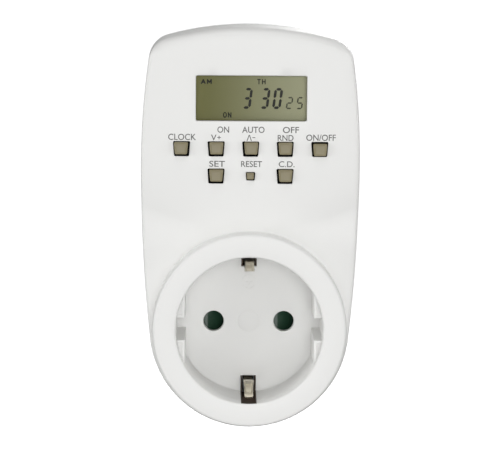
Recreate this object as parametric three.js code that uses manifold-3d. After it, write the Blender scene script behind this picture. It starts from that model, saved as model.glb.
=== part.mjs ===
// A plug-in programmable timer for a type F mains outlet: a socket in front, a plug behind,
// and a clock with eight keys and a liquid-crystal display above the socket.
//
// Frame, in millimetres: the origin is the centre of the plug's end face. +Y runs into the wall,
// +Z is up and +X is to the right for somebody facing the timer. Depths are therefore negative
// in front of the plug face, and a piece's "front" is its end with the lower Y.

import * as THREE from "three";
import { mergeVertices } from "three/addons/utils/BufferGeometryUtils.js";
import Module from "manifold-3d";

const wasm = await Module();
wasm.setup();

// ---- Driving dimensions ----

const GAP = 0.3; // clearance between pieces that only rest against each other

// The casing's outline, seen from the front: five tangent arcs on each side of the middle.
const CASE = {
  bottomRadius: 27,
  halfWidth: 29.3,
  widestZ: 43.5,
  topZ: 80.3,
  topRadius: 84,
  upperSideRadius: 200,
  cornerRadius: 7.2,
  wall: 2,
  edge: 1.5,
};
// Depths of its main planes along the plug's axis.
const DEPTH = {
  pinTip: 19,
  plugFace: 0,
  back: -18,
  parting: -36,
  lowFront: -54,
  highFront: -56.3,
  rim: -60,
};

// The outlet's recess.
const SOCKET = {
  pinPitch: 19,
  radius: 19.5,
  ringRadius: 25.7,
  insertTop: -56.6,
  insertRadius: 21.2,
  skirtWall: 1.6,
  floor: -42.5,
  floorBack: -40.5,
  skirtBack: -36.4,
  holeRadius: 2.75,
  chordX: 17.1,
  guideWall: 0.95,
  guideGap: 2.75,
  pocketFloor: -55,
  slotWidth: 4.3,
  slotInner: 14.9,
};
const PIN_X = SOCKET.pinPitch / 2;

// The shutter slides to the left when both pins press on its ramps.
const SHUTTER = {
  front: -40.2,
  back: -36.9,
  rampFoot: -37.5,
  flatRight: -1.4,
  padLeft: -3.4,
  padRight: 3.3,
  halfHeight: 3.9,
  rail: 1,
  railFront: -38.4,
  pegX: -3,
  pegRadius: 1.1,
};

// The block behind the socket, with one chamber for each contact.
const CARRIER = {
  radius: 19,
  thickness: 2,
  back: -22.2,
  holeRadius: 3.2,
  chamberInner: 4.5,
  chamberOuter: 14.5,
  chamberHalf: 6.4,
  chamberWall: 1.2,
};

// The plug.
const PLUG = {
  radius: 18.4,
  flatX: 16.8,
  grooveX: 15.3,
  grooveHalf: 2.6,
  hollowRadius: 14.4,
  faceWall: 2.5,
  pinRadius: 2.4,
  collarRadius: 3.3,
  sleeveRadius: 5,
  sleeveBack: -12,
  collarBack: -9,
  collarFront: -4,
  stubRadius: 1.6,
  stubBack: -15,
  slotWidth: 6,
  slotZ: 15,
  strapZ: 16.8,
};

// The raised panel round the display: its lower edge is one wide arc.
const PANEL = { creaseRadius: 64.4, creaseZ: 25.5, slope: 2.4, edge: 0.8 };

// The display, and what holds it.
const WINDOW = { width: 29, height: 11.8, z: 61.3, paneFront: -54, paneBack: -53.3 };
const LCD = { width: 31.6, height: 14.6, front: -52.9, back: -50.9 };
const LCD_FRAME = { width: 35, height: 18, front: -53, ledge: -50.6, back: -47.9, slotZ: -5.95 };

// The keys: a row of five above a row of three, whose middle one is the small reset key.
const KEY = {
  pitch: 9.1,
  topWidth: 4.5,
  bottomWidth: 3.9,
  height: 3.95,
  clearance: 0.27,
  front: -56.7,
  flangeFront: -53.9,
  flangeBack: -53.1,
  flangeLip: 0.55,
  stemBack: -49.2,
  stemWidth: 3,
  stemHeight: 2.6,
};
const UPPER_ROW_Z = 47.9;
const LOWER_ROW_Z = 40.7;
const KEYS = [
  { name: "key_clock", column: -2, z: UPPER_ROW_Z, scale: 1 },
  { name: "key_down", column: -1, z: UPPER_ROW_Z, scale: 1 },
  { name: "key_up", column: 0, z: UPPER_ROW_Z, scale: 1 },
  { name: "key_random", column: 1, z: UPPER_ROW_Z, scale: 1 },
  { name: "key_on_off", column: 2, z: UPPER_ROW_Z, scale: 1 },
  { name: "key_set", column: -1, z: LOWER_ROW_Z, scale: 1 },
  { name: "key_reset", column: 0, z: LOWER_ROW_Z, scale: 0.56 },
  { name: "key_countdown", column: 1, z: LOWER_ROW_Z, scale: 1 },
].map((key) => ({ ...key, x: key.column * KEY.pitch }));
const MAT = { width: 43, height: 13.8, thickness: 0.85, openingRadius: 2.3 };

// The two boards. Both are notched at their upper corners, where the casing screws pass.
const DISPLAY_BOARD = { front: -47.6, back: -46, halfWidth: 24, bottom: 33.5, top: 71.5 };
const MAIN_BOARD = { front: -24.8, back: -23.2, inset: 3, bottom: 25.5 };
const BOARD_NOTCH = { x: 16.4, z: 65.4, size: 40 };

// The relay that switches the outlet, on the power board.
const RELAY = {
  x: -9,
  z: 58,
  width: 15.4,
  length: 19,
  height: 15.2,
  wall: 0.8,
  baseThickness: 1.5,
  yokeZ: 6.4,
  yokeHeight: 11.6,
};
const COIL = { z: 57.6, flange: 4.6, wound: 3.9, thickness: 0.9, length: 9.2 };

// The casing screws, and the wells and bosses that hold them.
const SCREW = {
  places: { top_left: [-21, 70], top_right: [21, 70], low_left: [-22.8, 20], low_right: [22.8, 20] },
  wellRadius: 4,
  boreRadius: 3.1,
  wellFloor: -31,
  wellEnd: -33,
  holeRadius: 1.7,
  bossRadius: 3.2,
  pilotRadius: 1.45,
  pilotEnd: -46,
  tip: -43,
  shankRadius: 1.2,
  headRadius: 2.7,
  headHeight: 1.9,
};

// ---- Materials ----

const plastic = (color, roughness) => new THREE.MeshStandardMaterial({ color, roughness, metalness: 0 });
const metal = (color, roughness) => new THREE.MeshStandardMaterial({ color, roughness, metalness: 1 });
const MATERIAL = {
  casing: plastic(0xe9e9e6, 0.35),
  keys: plastic(0x91876f, 0.5),
  shutter: plastic(0x1d3a2b, 0.45),
  dark: plastic(0x2b2320, 0.6),
  board: plastic(0x2f6b3c, 0.55),
  relay: plastic(0x2a56a5, 0.4),
  capacitor: plastic(0xc9a227, 0.45),
  black: plastic(0x1b1b1d, 0.5),
  rubber: plastic(0x8b8b88, 0.8),
  lcd: plastic(0x8b8c66, 0.2),
  pane: new THREE.MeshStandardMaterial({
    color: 0xffffff,
    roughness: 0.05,
    transparent: true,
    opacity: 0.3,
  }),
  nickel: metal(0xb8b1a0, 0.3),
  brass: metal(0xc2a25a, 0.35),
  steel: metal(0x9a9b9c, 0.35),
  copper: metal(0xb5683a, 0.4),
  brownWire: plastic(0x5b3a24, 0.6),
  blueWire: plastic(0x2b56a8, 0.6),
};

// ---- Solids and booleans ----

// A closed geometry as a solid.
function solidOf(geometry) {
  const bare = geometry.index ? geometry.toNonIndexed() : geometry.clone();
  bare.deleteAttribute("normal");
  bare.deleteAttribute("uv");
  const merged = mergeVertices(bare, 1e-4);
  return new wasm.Manifold(
    new wasm.Mesh({
      numProp: 3,
      vertProperties: merged.attributes.position.array,
      triVerts: new Uint32Array(merged.index.array),
    }),
  );
}

// A solid as a geometry.
function geometryOf(solid) {
  const mesh = solid.getMesh();
  return new THREE.BufferGeometry()
    .setAttribute("position", new THREE.BufferAttribute(new Float32Array(mesh.vertProperties), 3))
    .setIndex(new THREE.BufferAttribute(mesh.triVerts, 1));
}

// All the geometries joined into one solid.
function join(...geometries) {
  return geometries.map(solidOf).reduce((all, one) => all.add(one));
}

// A solid or geometry with the other geometries cut out of it.
function cut(body, ...geometries) {
  const solid = body.isBufferGeometry ? solidOf(body) : body;
  return geometries.map(solidOf).reduce((all, one) => all.subtract(one), solid);
}

// ---- Shapes ----

// A box between two depths, centred on a point of the front view.
function block(width, height, front, back, x = 0, z = 0) {
  return new THREE.BoxGeometry(width, back - front, height).translate(x, (front + back) / 2, z);
}

// A round bar along the plug's axis.
function bar(radius, front, back, x = 0, z = 0, sides = 24) {
  return new THREE.CylinderGeometry(radius, radius, back - front, sides).translate(x, (front + back) / 2, z);
}

// A round bar lying across the timer, centred on a depth and a height.
function crossBar(radius, width, y, z, sides = 16) {
  return new THREE.CylinderGeometry(radius, radius, width, sides).rotateZ(Math.PI / 2).translate(0, y, z);
}

// A shape drawn in the front view, X to the right and Z up, given thickness along Y.
// A bevel rounds the front and back edges inside the shape's own outline.
function plate(shape, front, back, bevel = 0) {
  return new THREE.ExtrudeGeometry(shape, {
    depth: back - front - 2 * bevel,
    bevelEnabled: bevel > 0,
    bevelThickness: bevel,
    bevelSize: bevel,
    bevelOffset: -bevel,
    bevelSegments: 2,
  })
    .rotateX(Math.PI / 2)
    .translate(0, back - bevel, 0);
}

// A shape drawn in the side view, Y to the right and Z up, given a width centred on X.
function sidePlate(points, width) {
  const toSideView = new THREE.Matrix4().makeBasis(
    new THREE.Vector3(0, 1, 0),
    new THREE.Vector3(0, 0, 1),
    new THREE.Vector3(1, 0, 0),
  );
  return new THREE.ExtrudeGeometry(new THREE.Shape(points), { depth: width, bevelEnabled: false })
    .translate(0, 0, -width / 2)
    .applyMatrix4(toSideView);
}

// A bent sheet-metal strip: its centre line is a list of [y, z] points in the side view.
function strip(line, thickness, width) {
  const points = line.map(([y, z]) => new THREE.Vector2(y, z));
  const normals = points.slice(1).map((point, i) => {
    const along = point.clone().sub(points[i]).normalize();
    return new THREE.Vector2(-along.y, along.x);
  });
  const offsets = points.map((_, i) => {
    const after = normals[Math.min(i, normals.length - 1)];
    const before = normals[Math.max(i - 1, 0)];
    const mitre = before.clone().add(after).normalize();
    return mitre.multiplyScalar(thickness / 2 / mitre.dot(after));
  });
  const oneSide = points.map((point, i) => point.clone().add(offsets[i]));
  const otherSide = points.map((point, i) => point.clone().sub(offsets[i]));
  return sidePlate([...oneSide, ...otherSide.reverse()], width);
}

// The same line below the axis, running the other way, and then the line itself.
function mirrored(line) {
  return [...line.map(([y, z]) => [y, -z]).reverse(), ...line];
}

// A round wire along a smooth curve through [x, y, z] points.
function wire(points, radius, steps, sides = 8) {
  const path = new THREE.CatmullRomCurve3(points.map((point) => new THREE.Vector3(...point)));
  const section = Array.from({ length: sides }, (_, i) => {
    const angle = (2 * Math.PI * i) / sides;
    return new THREE.Vector2(radius * Math.cos(angle), radius * Math.sin(angle));
  });
  return new THREE.ExtrudeGeometry(new THREE.Shape(section), { steps, extrudePath: path });
}

// A solid of revolution about the plug's axis, from [radius, y] points that start and end at radius 0.
function turned(points, sides = 24) {
  return new THREE.LatheGeometry(points.map(([radius, y]) => new THREE.Vector2(radius, y)), sides);
}

// Points of an arc from one angle to another, without its last point.
function arc(centre, radius, from, to, steps) {
  return Array.from({ length: steps }, (_, i) => {
    const angle = from + ((to - from) * i) / steps;
    return new THREE.Vector2(Math.cos(angle), Math.sin(angle)).multiplyScalar(radius).add(centre);
  });
}

// The point, on the right, at one distance from each of two centres.
function meetingPoint(a, fromA, b, fromB) {
  const apart = b.clone().sub(a);
  const distance = apart.length();
  const along = (fromA ** 2 - fromB ** 2 + distance ** 2) / (2 * distance);
  const across = Math.sqrt(fromA ** 2 - along ** 2);
  const unit = apart.divideScalar(distance);
  const sideways = new THREE.Vector2(-unit.y, unit.x).multiplyScalar(across);
  return a.clone().addScaledVector(unit, along).add(sideways);
}

// The casing's outline, moved inwards by an inset. The lower side arc holds the bottom arc inside
// it, and the corner arc touches the upper side arc and the top arc from inside.
function caseOutline(inset) {
  const { bottomRadius, halfWidth, widestZ, topZ, topRadius, upperSideRadius, cornerRadius } = CASE;
  const lowerSideRadius =
    (halfWidth ** 2 + widestZ ** 2 - bottomRadius ** 2) / (2 * (halfWidth - bottomRadius));
  const bottom = new THREE.Vector2(0, 0);
  const lower = new THREE.Vector2(halfWidth - lowerSideRadius, widestZ);
  const upper = new THREE.Vector2(halfWidth - upperSideRadius, widestZ);
  const top = new THREE.Vector2(0, topZ - topRadius);
  const corner = meetingPoint(upper, upperSideRadius - cornerRadius, top, topRadius - cornerRadius);
  const bottomEnd = Math.atan2(-lower.y, -lower.x);
  const sideEnd = Math.atan2(corner.y - upper.y, corner.x - upper.x);
  const topStart = Math.atan2(corner.y - top.y, corner.x - top.x);
  const right = [
    ...arc(bottom, bottomRadius - inset, -Math.PI / 2, bottomEnd, 11),
    ...arc(lower, lowerSideRadius - inset, bottomEnd, 0, 4),
    ...arc(upper, upperSideRadius - inset, 0, sideEnd, 4),
    ...arc(corner, cornerRadius - inset, sideEnd, topStart, 4),
    ...arc(top, topRadius - inset, topStart, Math.PI / 2, 5),
  ];
  const left = right.slice(1).map((point) => new THREE.Vector2(-point.x, point.y));
  return new THREE.Shape([...right, new THREE.Vector2(0, topZ - inset), ...left.reverse()]);
}

// A key's trapezium, wider at its top, grown by a margin all round.
function keyShape(scale, margin) {
  const top = (KEY.topWidth * scale) / 2 + margin;
  const bottom = (KEY.bottomWidth * scale) / 2 + margin;
  const half = (KEY.height * scale) / 2 + margin;
  return new THREE.Shape([
    new THREE.Vector2(-bottom, -half),
    new THREE.Vector2(bottom, -half),
    new THREE.Vector2(top, half),
    new THREE.Vector2(-top, half),
  ]);
}

// ---- Casing ----

const screwPlaces = Object.values(SCREW.places);
const wide = 200; // more than the timer measures, for cutting whole regions away

// The space above the raised panel's lower edge: a wide cone that narrows to the front.
function abovePanelEdge(inset) {
  const depth = DEPTH.lowFront - DEPTH.highFront;
  const radius = PANEL.creaseRadius - inset;
  const cone = new THREE.CylinderGeometry(radius + PANEL.slope, radius - PANEL.slope, 2 * depth, 80);
  return solidOf(cone.translate(0, DEPTH.lowFront, PANEL.creaseZ + PANEL.creaseRadius));
}

// Front half of the casing: side walls, low front, raised panel, socket ring and screw bosses.
function frontCover() {
  const { wall, edge } = CASE;
  const back = DEPTH.parting - GAP / 2;
  const panelInside = DEPTH.highFront + wall;
  const joinDepth = DEPTH.lowFront + wall + 2;
  const collarBack = DEPTH.lowFront + wall + 4;
  const body = solidOf(plate(caseOutline(0), DEPTH.lowFront, back + 2 * edge, edge));
  const panel = solidOf(plate(caseOutline(edge), DEPTH.highFront, joinDepth, PANEL.edge));
  const panelHollow = solidOf(plate(caseOutline(wall + edge), panelInside, joinDepth));
  const shell = cut(
    body.intersect(solidOf(block(wide, wide, -wide, back))).add(panel.intersect(abovePanelEdge(0))),
    plate(caseOutline(wall), DEPTH.lowFront + wall, back + 1),
  ).subtract(panelHollow.intersect(abovePanelEdge(wall)));
  const bosses = screwPlaces.map(([x, z]) => {
    const front = z > PANEL.creaseZ ? DEPTH.highFront + 1 : DEPTH.lowFront + 1;
    return bar(SCREW.bossRadius, front, SCREW.wellEnd - GAP, x, z, 16);
  });
  const filled = shell.add(
    join(
      bar(SOCKET.ringRadius, DEPTH.rim, DEPTH.lowFront + 1, 0, 0, 60),
      bar(SOCKET.insertRadius + wall, DEPTH.lowFront, collarBack, 0, 0, 60),
    ).add(join(...bosses)),
  );
  return cut(
    filled,
    bar(SOCKET.radius, DEPTH.rim - 1, SOCKET.insertTop + 1, 0, 0, 60),
    bar(SOCKET.insertRadius + GAP / 2, SOCKET.insertTop - GAP / 2, back + 1, 0, 0, 60),
    block(SOCKET.slotWidth, 2 * SOCKET.insertRadius, DEPTH.rim + 0.4, SOCKET.insertTop + 1),
    block(WINDOW.width, WINDOW.height, DEPTH.highFront - 1, panelInside + 1, 0, WINDOW.z),
    ...KEYS.map((key) =>
      plate(keyShape(key.scale, 0), DEPTH.highFront - 1, panelInside + 1).translate(key.x, 0, key.z),
    ),
    ...screwPlaces.map(([x, z]) => bar(SCREW.pilotRadius, SCREW.pilotEnd, SCREW.wellEnd + 1, x, z, 12)),
  );
}

// The plug's body: flats and grooves at its sides, slots for the earth strap above and below.
function plugBody() {
  const root = DEPTH.back - CASE.wall;
  const sides = [-1, 1].flatMap((side) => [
    block(8, wide, DEPTH.back, 1, side * (PLUG.flatX + 4)),
    block(8, 2 * PLUG.grooveHalf, DEPTH.back, 1, side * (PLUG.grooveX + 4)),
    block(PLUG.slotWidth, 8, root - 1, -PLUG.faceWall, 0, side * (PLUG.slotZ + 4)),
  ]);
  const cup = cut(
    bar(PLUG.radius, root, DEPTH.plugFace, 0, 0, 60),
    ...sides,
    bar(PLUG.hollowRadius, root - 1, -PLUG.faceWall, 0, 0, 40),
  );
  const sleeves = [-PIN_X, PIN_X].map((x) => bar(PLUG.sleeveRadius, PLUG.sleeveBack, -1, x));
  const pinHoles = [-PIN_X, PIN_X].flatMap((x) => [
    bar(PLUG.pinRadius + 0.1, PLUG.sleeveBack - 1, 1, x),
    bar(PLUG.collarRadius + GAP, PLUG.sleeveBack - 1, PLUG.collarFront + 0.5, x),
  ]);
  return cut(cup.add(join(...sleeves)), ...pinHoles);
}

// Back half of the casing: a tray with the plug's body on it, and four screw wells.
function rearShell() {
  const { wall, edge } = CASE;
  const front = DEPTH.parting + GAP / 2;
  const tray = solidOf(plate(caseOutline(0), front - 2 * edge, DEPTH.back, edge));
  const wells = join(
    ...screwPlaces.map(([x, z]) => bar(SCREW.wellRadius, SCREW.wellEnd, DEPTH.back - 1, x, z, 20)),
  ).intersect(solidOf(plate(caseOutline(edge), DEPTH.parting, DEPTH.back - 0.5)));
  const shell = cut(
    tray.intersect(solidOf(block(wide, wide, front, 1))),
    plate(caseOutline(wall), front - 1, DEPTH.back - wall),
    bar(PLUG.hollowRadius, DEPTH.back - wall - 1, DEPTH.back + 1, 0, 0, 40),
  ).add(wells);
  return cut(
    shell,
    ...[-1, 1].map((side) =>
      block(PLUG.slotWidth, 3, DEPTH.back - wall - 1, DEPTH.back + 1, 0, side * (PLUG.slotZ + 1.5)),
    ),
    ...screwPlaces.flatMap(([x, z]) => [
      bar(SCREW.boreRadius, SCREW.wellFloor, DEPTH.back + 1, x, z, 20),
      bar(SCREW.holeRadius, SCREW.wellEnd - 1, SCREW.wellFloor + 1, x, z, 12),
    ]),
  ).add(plugBody());
}

// A casing screw: a pan head with a cross recess on a plain shank.
function casingScrew() {
  const seat = SCREW.wellFloor + 0.1;
  const top = seat + SCREW.headHeight;
  const pan = new THREE.CylinderGeometry(SCREW.headRadius - 0.5, SCREW.headRadius, SCREW.headHeight, 16);
  return cut(
    join(bar(SCREW.shankRadius, SCREW.tip, seat + 0.5, 0, 0, 12), pan.translate(0, (seat + top) / 2, 0)),
    block(2.8, 0.7, seat + 0.9, top + 1),
    block(0.7, 2.8, seat + 0.9, top + 1),
  );
}

// ---- Socket ----

// The recess: a cup with side guides, pin holes, slots for the earth clips, and guides for the
// shutter on the back of its floor.
function socketInsert() {
  const { radius, insertTop, insertRadius, floor, floorBack, skirtBack } = SOCKET;
  const { chordX, guideWall, guideGap, pocketFloor, slotInner, slotWidth } = SOCKET;
  const cup = cut(
    bar(insertRadius, insertTop, skirtBack, 0, 0, 60),
    bar(radius, insertTop - 1, floor, 0, 0, 60),
    bar(insertRadius - SOCKET.skirtWall, floorBack, skirtBack + 1, 0, 0, 60),
  );
  const guides = cut(
    bar(radius + 0.5, insertTop, floor + 0.5, 0, 0, 60),
    block(2 * chordX, wide, insertTop - 1, floor + 1),
    block(wide, 2 * guideGap, insertTop - 1, floor + 1),
  );
  const pockets = cut(
    bar(radius - 0.2, insertTop - 1, pocketFloor, 0, 0, 60),
    block(2 * (chordX + guideWall), wide, insertTop - 2, pocketFloor + 1),
    block(wide, 2 * (guideGap + guideWall), insertTop - 2, pocketFloor + 1),
  );
  const ribZ = SHUTTER.halfHeight + GAP + 0.5;
  const ribs = [-1, 1].map((side) => block(26, 1, floorBack - 0.5, SHUTTER.back - 0.1, 0, side * ribZ));
  const peg = bar(SHUTTER.pegRadius, floorBack - 0.5, SHUTTER.back - 0.1, SHUTTER.pegX, 0, 16);
  const slotDepth = insertRadius + 1 - slotInner;
  return cut(
    cup.add(solidOf(bar(2.9, floor - 0.15, floor + 0.5)))
      .add(guides)
      .subtract(pockets)
      .add(join(...ribs, peg)),
    ...[-1, 1].map((side) =>
      block(slotWidth, slotDepth, insertTop - 1, skirtBack + 1, 0, side * (slotInner + slotDepth / 2)),
    ),
    ...[-PIN_X, PIN_X].map((x) => bar(SOCKET.holeRadius, floor - 1, floorBack + 1, x)),
  );
}

// The child-safety shutter: one slide with a ramped pad behind each pin hole, and an open
// middle between two rails.
function shutter() {
  const { front, back, rampFoot, flatRight, padLeft, padRight, halfHeight, rail, railFront } = SHUTTER;
  const section = [
    [padLeft, back],
    [padLeft, front],
    [flatRight, front],
    [padRight, rampFoot],
    [padRight, back],
  ].map(([x, y]) => new THREE.Vector2(x, y));
  const pads = [-PIN_X, PIN_X].map((x) =>
    new THREE.ExtrudeGeometry(new THREE.Shape(section), { depth: 2 * halfHeight, bevelEnabled: false })
      .translate(x, 0, -halfHeight),
  );
  const rails = [-1, 1].map((side) => {
    const z = side * (halfHeight - rail / 2);
    return block(2 * PIN_X, rail, railFront, back, 0, z);
  });
  return join(...pads, ...rails);
}

// The shutter's return spring, pressed between the insert's peg and the right-hand pad.
function shutterSpring() {
  const left = SHUTTER.pegX + SHUTTER.pegRadius + 0.3;
  const right = PIN_X + SHUTTER.padLeft - 0.3;
  const turns = 5;
  const perTurn = 8;
  const steps = turns * perTurn;
  const coil = Array.from({ length: steps + 1 }, (_, i) => {
    const angle = (2 * Math.PI * i) / perTurn;
    return [left + ((right - left) * i) / steps, -38.4 + 1.1 * Math.cos(angle), 1.1 * Math.sin(angle)];
  });
  return wire(coil, 0.16, steps, 6);
}

function contactCarrier() {
  const { radius, thickness, back, chamberInner, chamberOuter, chamberHalf, chamberWall } = CARRIER;
  const front = SOCKET.skirtBack + GAP;
  const plateBack = front + thickness;
  const middle = (chamberInner + chamberOuter) / 2;
  const width = chamberOuter - chamberInner;
  const chamber = (side, inset, from, to) =>
    block(width - 2 * inset, 2 * (chamberHalf - inset), from, to, side * middle);
  return cut(
    join(bar(radius, front, plateBack, 0, 0, 40), ...[-1, 1].map((side) => chamber(side, 0, front, back))),
    ...[-1, 1].map((side) => chamber(side, chamberWall, plateBack, back + 1)),
    ...[-PIN_X, PIN_X].map((x) => bar(CARRIER.holeRadius, front - 1, plateBack + 1, x)),
    ...[-1, 1].map((side) => block(6, 6, front - 1, plateBack + 1, 0, side * 17.8)),
  );
}

// A socket contact: one folded strip whose two leaves grip a pin.
function springContact() {
  return strip(mirrored([[-23.2, 4.1], [-25.5, 4.1], [-31, 2.4], [-33.6, 3.7]]), 0.7, 6);
}

// The earth clips of the socket: one bracket whose two ends spring into the recess.
const CLIP_BASE = SOCKET.skirtBack + GAP + CARRIER.thickness + 0.6;
function socketEarthClip() {
  return strip(mirrored([[CLIP_BASE, 16.5], [-45, 16.3], [-53, 15.5], [-57.2, 18.5]]), 0.7, 2.7);
}

// ---- Plug ----

// A plug pin with a round-edged tip, and a collar inside the plug's body.
function plugPin() {
  const { pinRadius, collarRadius, collarBack, collarFront, stubRadius, stubBack } = PLUG;
  const round = 1.6;
  const tip = [0, 25, 50, 75, 90].map((degrees) => {
    const angle = THREE.MathUtils.degToRad(degrees);
    return [pinRadius - round + round * Math.cos(angle), DEPTH.pinTip - round + round * Math.sin(angle)];
  });
  return turned(
    [
      [0, stubBack],
      [stubRadius, stubBack],
      [stubRadius, collarBack],
      [collarRadius, collarBack],
      [collarRadius, collarFront],
      [pinRadius, collarFront],
      ...tip,
      [0, DEPTH.pinTip],
    ],
  );
}

// The earth strap of the plug: its two legs lie in the slots above and below the plug's body.
const STRAP_BASE = -21.6;
function plugEarthStrap() {
  return strip(mirrored([[STRAP_BASE, PLUG.strapZ], [-3.2, PLUG.strapZ]]), 0.8, 4.6);
}

// The rivet that joins the two earth pieces.
function earthRivet() {
  return bar(1.4, CLIP_BASE + 0.35 + GAP, STRAP_BASE - 0.4 - GAP, 0, 0, 12);
}

// ---- Keys and display ----

// A key: a cap that shows, a flange that keeps it behind the panel, and a stem to its contact.
function key(scale) {
  return join(
    plate(keyShape(scale, -KEY.clearance), KEY.front, KEY.flangeFront + 0.2),
    plate(keyShape(scale, KEY.flangeLip), KEY.flangeFront, KEY.flangeBack),
    block(KEY.stemWidth * scale, KEY.stemHeight * scale, KEY.flangeBack - 0.2, KEY.stemBack),
  );
}

// The silicone sheet on the display board, with a round opening under each key.
function keypadMat() {
  const back = DISPLAY_BOARD.front - 0.05;
  const front = back - MAT.thickness;
  return cut(
    block(MAT.width, MAT.height, front, back, 0, (UPPER_ROW_Z + LOWER_ROW_Z) / 2),
    ...KEYS.map(({ x, z }) => bar(MAT.openingRadius, front - 1, back + 1, x, z, 14)),
  );
}

// The frame that holds the glass, with a slot for the conductive strip in its lower ledge.
function lcdFrame() {
  const { width, height, front, ledge, back, slotZ } = LCD_FRAME;
  return cut(
    block(width, height, front, back),
    block(LCD.width + 2 * GAP, LCD.height + 2 * GAP, front - 1, ledge),
    block(27, 8.6, ledge - 1, back + 1),
    block(28.6, 1.8, ledge - 1, back + 1, 0, slotZ),
  );
}

function lcdConductor() {
  return block(28, 1.2, LCD_FRAME.ledge, LCD_FRAME.back, 0, LCD_FRAME.slotZ);
}

// ---- Boards ----

function boardNotches(front, back) {
  const { x, z, size } = BOARD_NOTCH;
  return [-1, 1].map((side) =>
    block(size, size, front - 1, back + 1, side * (x + size / 2), z + size / 2),
  );
}

function displayBoard() {
  const { front, back, halfWidth, bottom, top } = DISPLAY_BOARD;
  const sheet = block(2 * halfWidth, top - bottom, front, back, 0, (top + bottom) / 2);
  return cut(sheet, ...boardNotches(front, back));
}

function mainBoard() {
  const { front, back, inset, bottom } = MAIN_BOARD;
  const belowBoard = block(wide, wide, front - 1, back + 1, 0, bottom - wide / 2);
  return cut(plate(caseOutline(inset), front, back), belowBoard, ...boardNotches(front, back));
}

// The posts that carry the display board's lines to the power board.
function boardHeader() {
  const posts = [-2, -1, 0, 1, 2].map((i) => block(0.64, 0.64, -44, -27, 2.54 * i));
  return join(block(13, 2.5, -27.6, MAIN_BOARD.front - 0.3), block(13, 2.5, -45.7, -43.2), ...posts);
}

// ---- Relay ----

const RELAY_BACK = MAIN_BOARD.front - GAP;
const YOKE_FRONT = RELAY_BACK - RELAY.yokeHeight;
const ARMATURE_BACK = YOKE_FRONT - GAP;

// The relay's cover, open towards the board.
function relayCover() {
  const { width, length, height, wall } = RELAY;
  const front = RELAY_BACK - height;
  return cut(
    block(width, length, front, RELAY_BACK),
    block(width - 2 * wall, length - 2 * wall, front + wall, RELAY_BACK + 1),
  );
}

// The relay's base, with the yoke standing on it.
function relayBase() {
  const base = block(13.2, 16.8, RELAY_BACK - RELAY.baseThickness, RELAY_BACK);
  return join(base, block(8, 1.2, YOKE_FRONT, RELAY_BACK - 1, 0, RELAY.yokeZ - 0.6));
}

// The relay's coil on its bobbin, round a core.
function relayCoil() {
  const { flange, wound, thickness, length } = COIL;
  const back = RELAY_BACK - RELAY.baseThickness - GAP;
  const front = back - length;
  return turned(
    [
      [0, front],
      [flange, front],
      [flange, front + thickness],
      [wound, front + thickness],
      [wound, back - thickness],
      [flange, back - thickness],
      [flange, back],
      [0, back],
    ],
    16,
  );
}

// The armature hinges on the yoke's edge and reaches over the coil's core.
function relayArmature() {
  return block(7.6, 13.6, ARMATURE_BACK - 1, ARMATURE_BACK);
}

// ---- Wires ----

// From a plug pin up to the power board, on one side.
function pinWire(side) {
  return wire(
    [
      [PIN_X, -15.4, 0],
      [PIN_X, -17.5, 0.8],
      [9.3, -19.4, 4.5],
      [9, -20.95, 10],
      [9, -21.5, 18],
      [9, -21.5, 26],
      [9, -21.6, 30],
      [9, -22.2, 31.4],
    ].map(([x, y, z]) => [side * x, y, z]),
    0.8,
    16,
  );
}

// From a socket contact up to the power board, on one side.
function contactWire(side) {
  return wire(
    [
      [11.2, -21.9, 3],
      [11.7, -21.2, 5.5],
      [13.2, -21.1, 10],
      [14.5, -21.5, 18],
      [15, -21.5, 26],
      [15, -21.6, 30],
      [15, -22.2, 31.4],
    ].map(([x, y, z]) => [side * x, y, z]),
    0.7,
    14,
  );
}

// ---- The object ----

const timer = new THREE.Group();

// Puts a named piece into the timer, at a point of the front view.
function add(name, piece, material, x = 0, z = 0) {
  const mesh = new THREE.Mesh(piece.isBufferGeometry ? piece : geometryOf(piece), material);
  mesh.name = name;
  mesh.position.set(x, 0, z);
  timer.add(mesh);
}

add("front_cover", frontCover(), MATERIAL.casing);
add("rear_shell", rearShell(), MATERIAL.casing);
for (const [name, [x, z]] of Object.entries(SCREW.places))
  add(`screw_${name}`, casingScrew(), MATERIAL.steel, x, z);

add("socket_insert", socketInsert(), MATERIAL.casing);
add("shutter", shutter(), MATERIAL.shutter);
add("shutter_spring", shutterSpring(), MATERIAL.steel);
add("contact_carrier", contactCarrier(), MATERIAL.dark);
add("live_contact", springContact(), MATERIAL.brass, -PIN_X);
add("neutral_contact", springContact(), MATERIAL.brass, PIN_X);
add("socket_earth_clip", socketEarthClip(), MATERIAL.nickel);

add("live_pin", plugPin(), MATERIAL.nickel, -PIN_X);
add("neutral_pin", plugPin(), MATERIAL.nickel, PIN_X);
add("plug_earth_strap", plugEarthStrap(), MATERIAL.nickel);
add("earth_rivet", earthRivet(), MATERIAL.brass);

for (const { name, scale, x, z } of KEYS) add(name, key(scale), MATERIAL.keys, x, z);
add("keypad_mat", keypadMat(), MATERIAL.rubber);
add("display_window", block(33, 14.6, WINDOW.paneFront, WINDOW.paneBack), MATERIAL.pane, 0, WINDOW.z);
add("lcd_glass", block(LCD.width, LCD.height, LCD.front, LCD.back), MATERIAL.lcd, 0, WINDOW.z);
add("lcd_frame", lcdFrame(), MATERIAL.black, 0, WINDOW.z);
add("lcd_conductor", lcdConductor(), MATERIAL.rubber, 0, WINDOW.z);

add("display_board", displayBoard(), MATERIAL.board);
add("controller_chip", block(9, 9, DISPLAY_BOARD.back + GAP, -44.2), MATERIAL.black, -6, 60);
add("watch_crystal", crossBar(1, 6, -44.6, 0, 12), MATERIAL.steel, -6, 48);
add("board_header", boardHeader(), MATERIAL.black, 14, 35.5);

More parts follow.
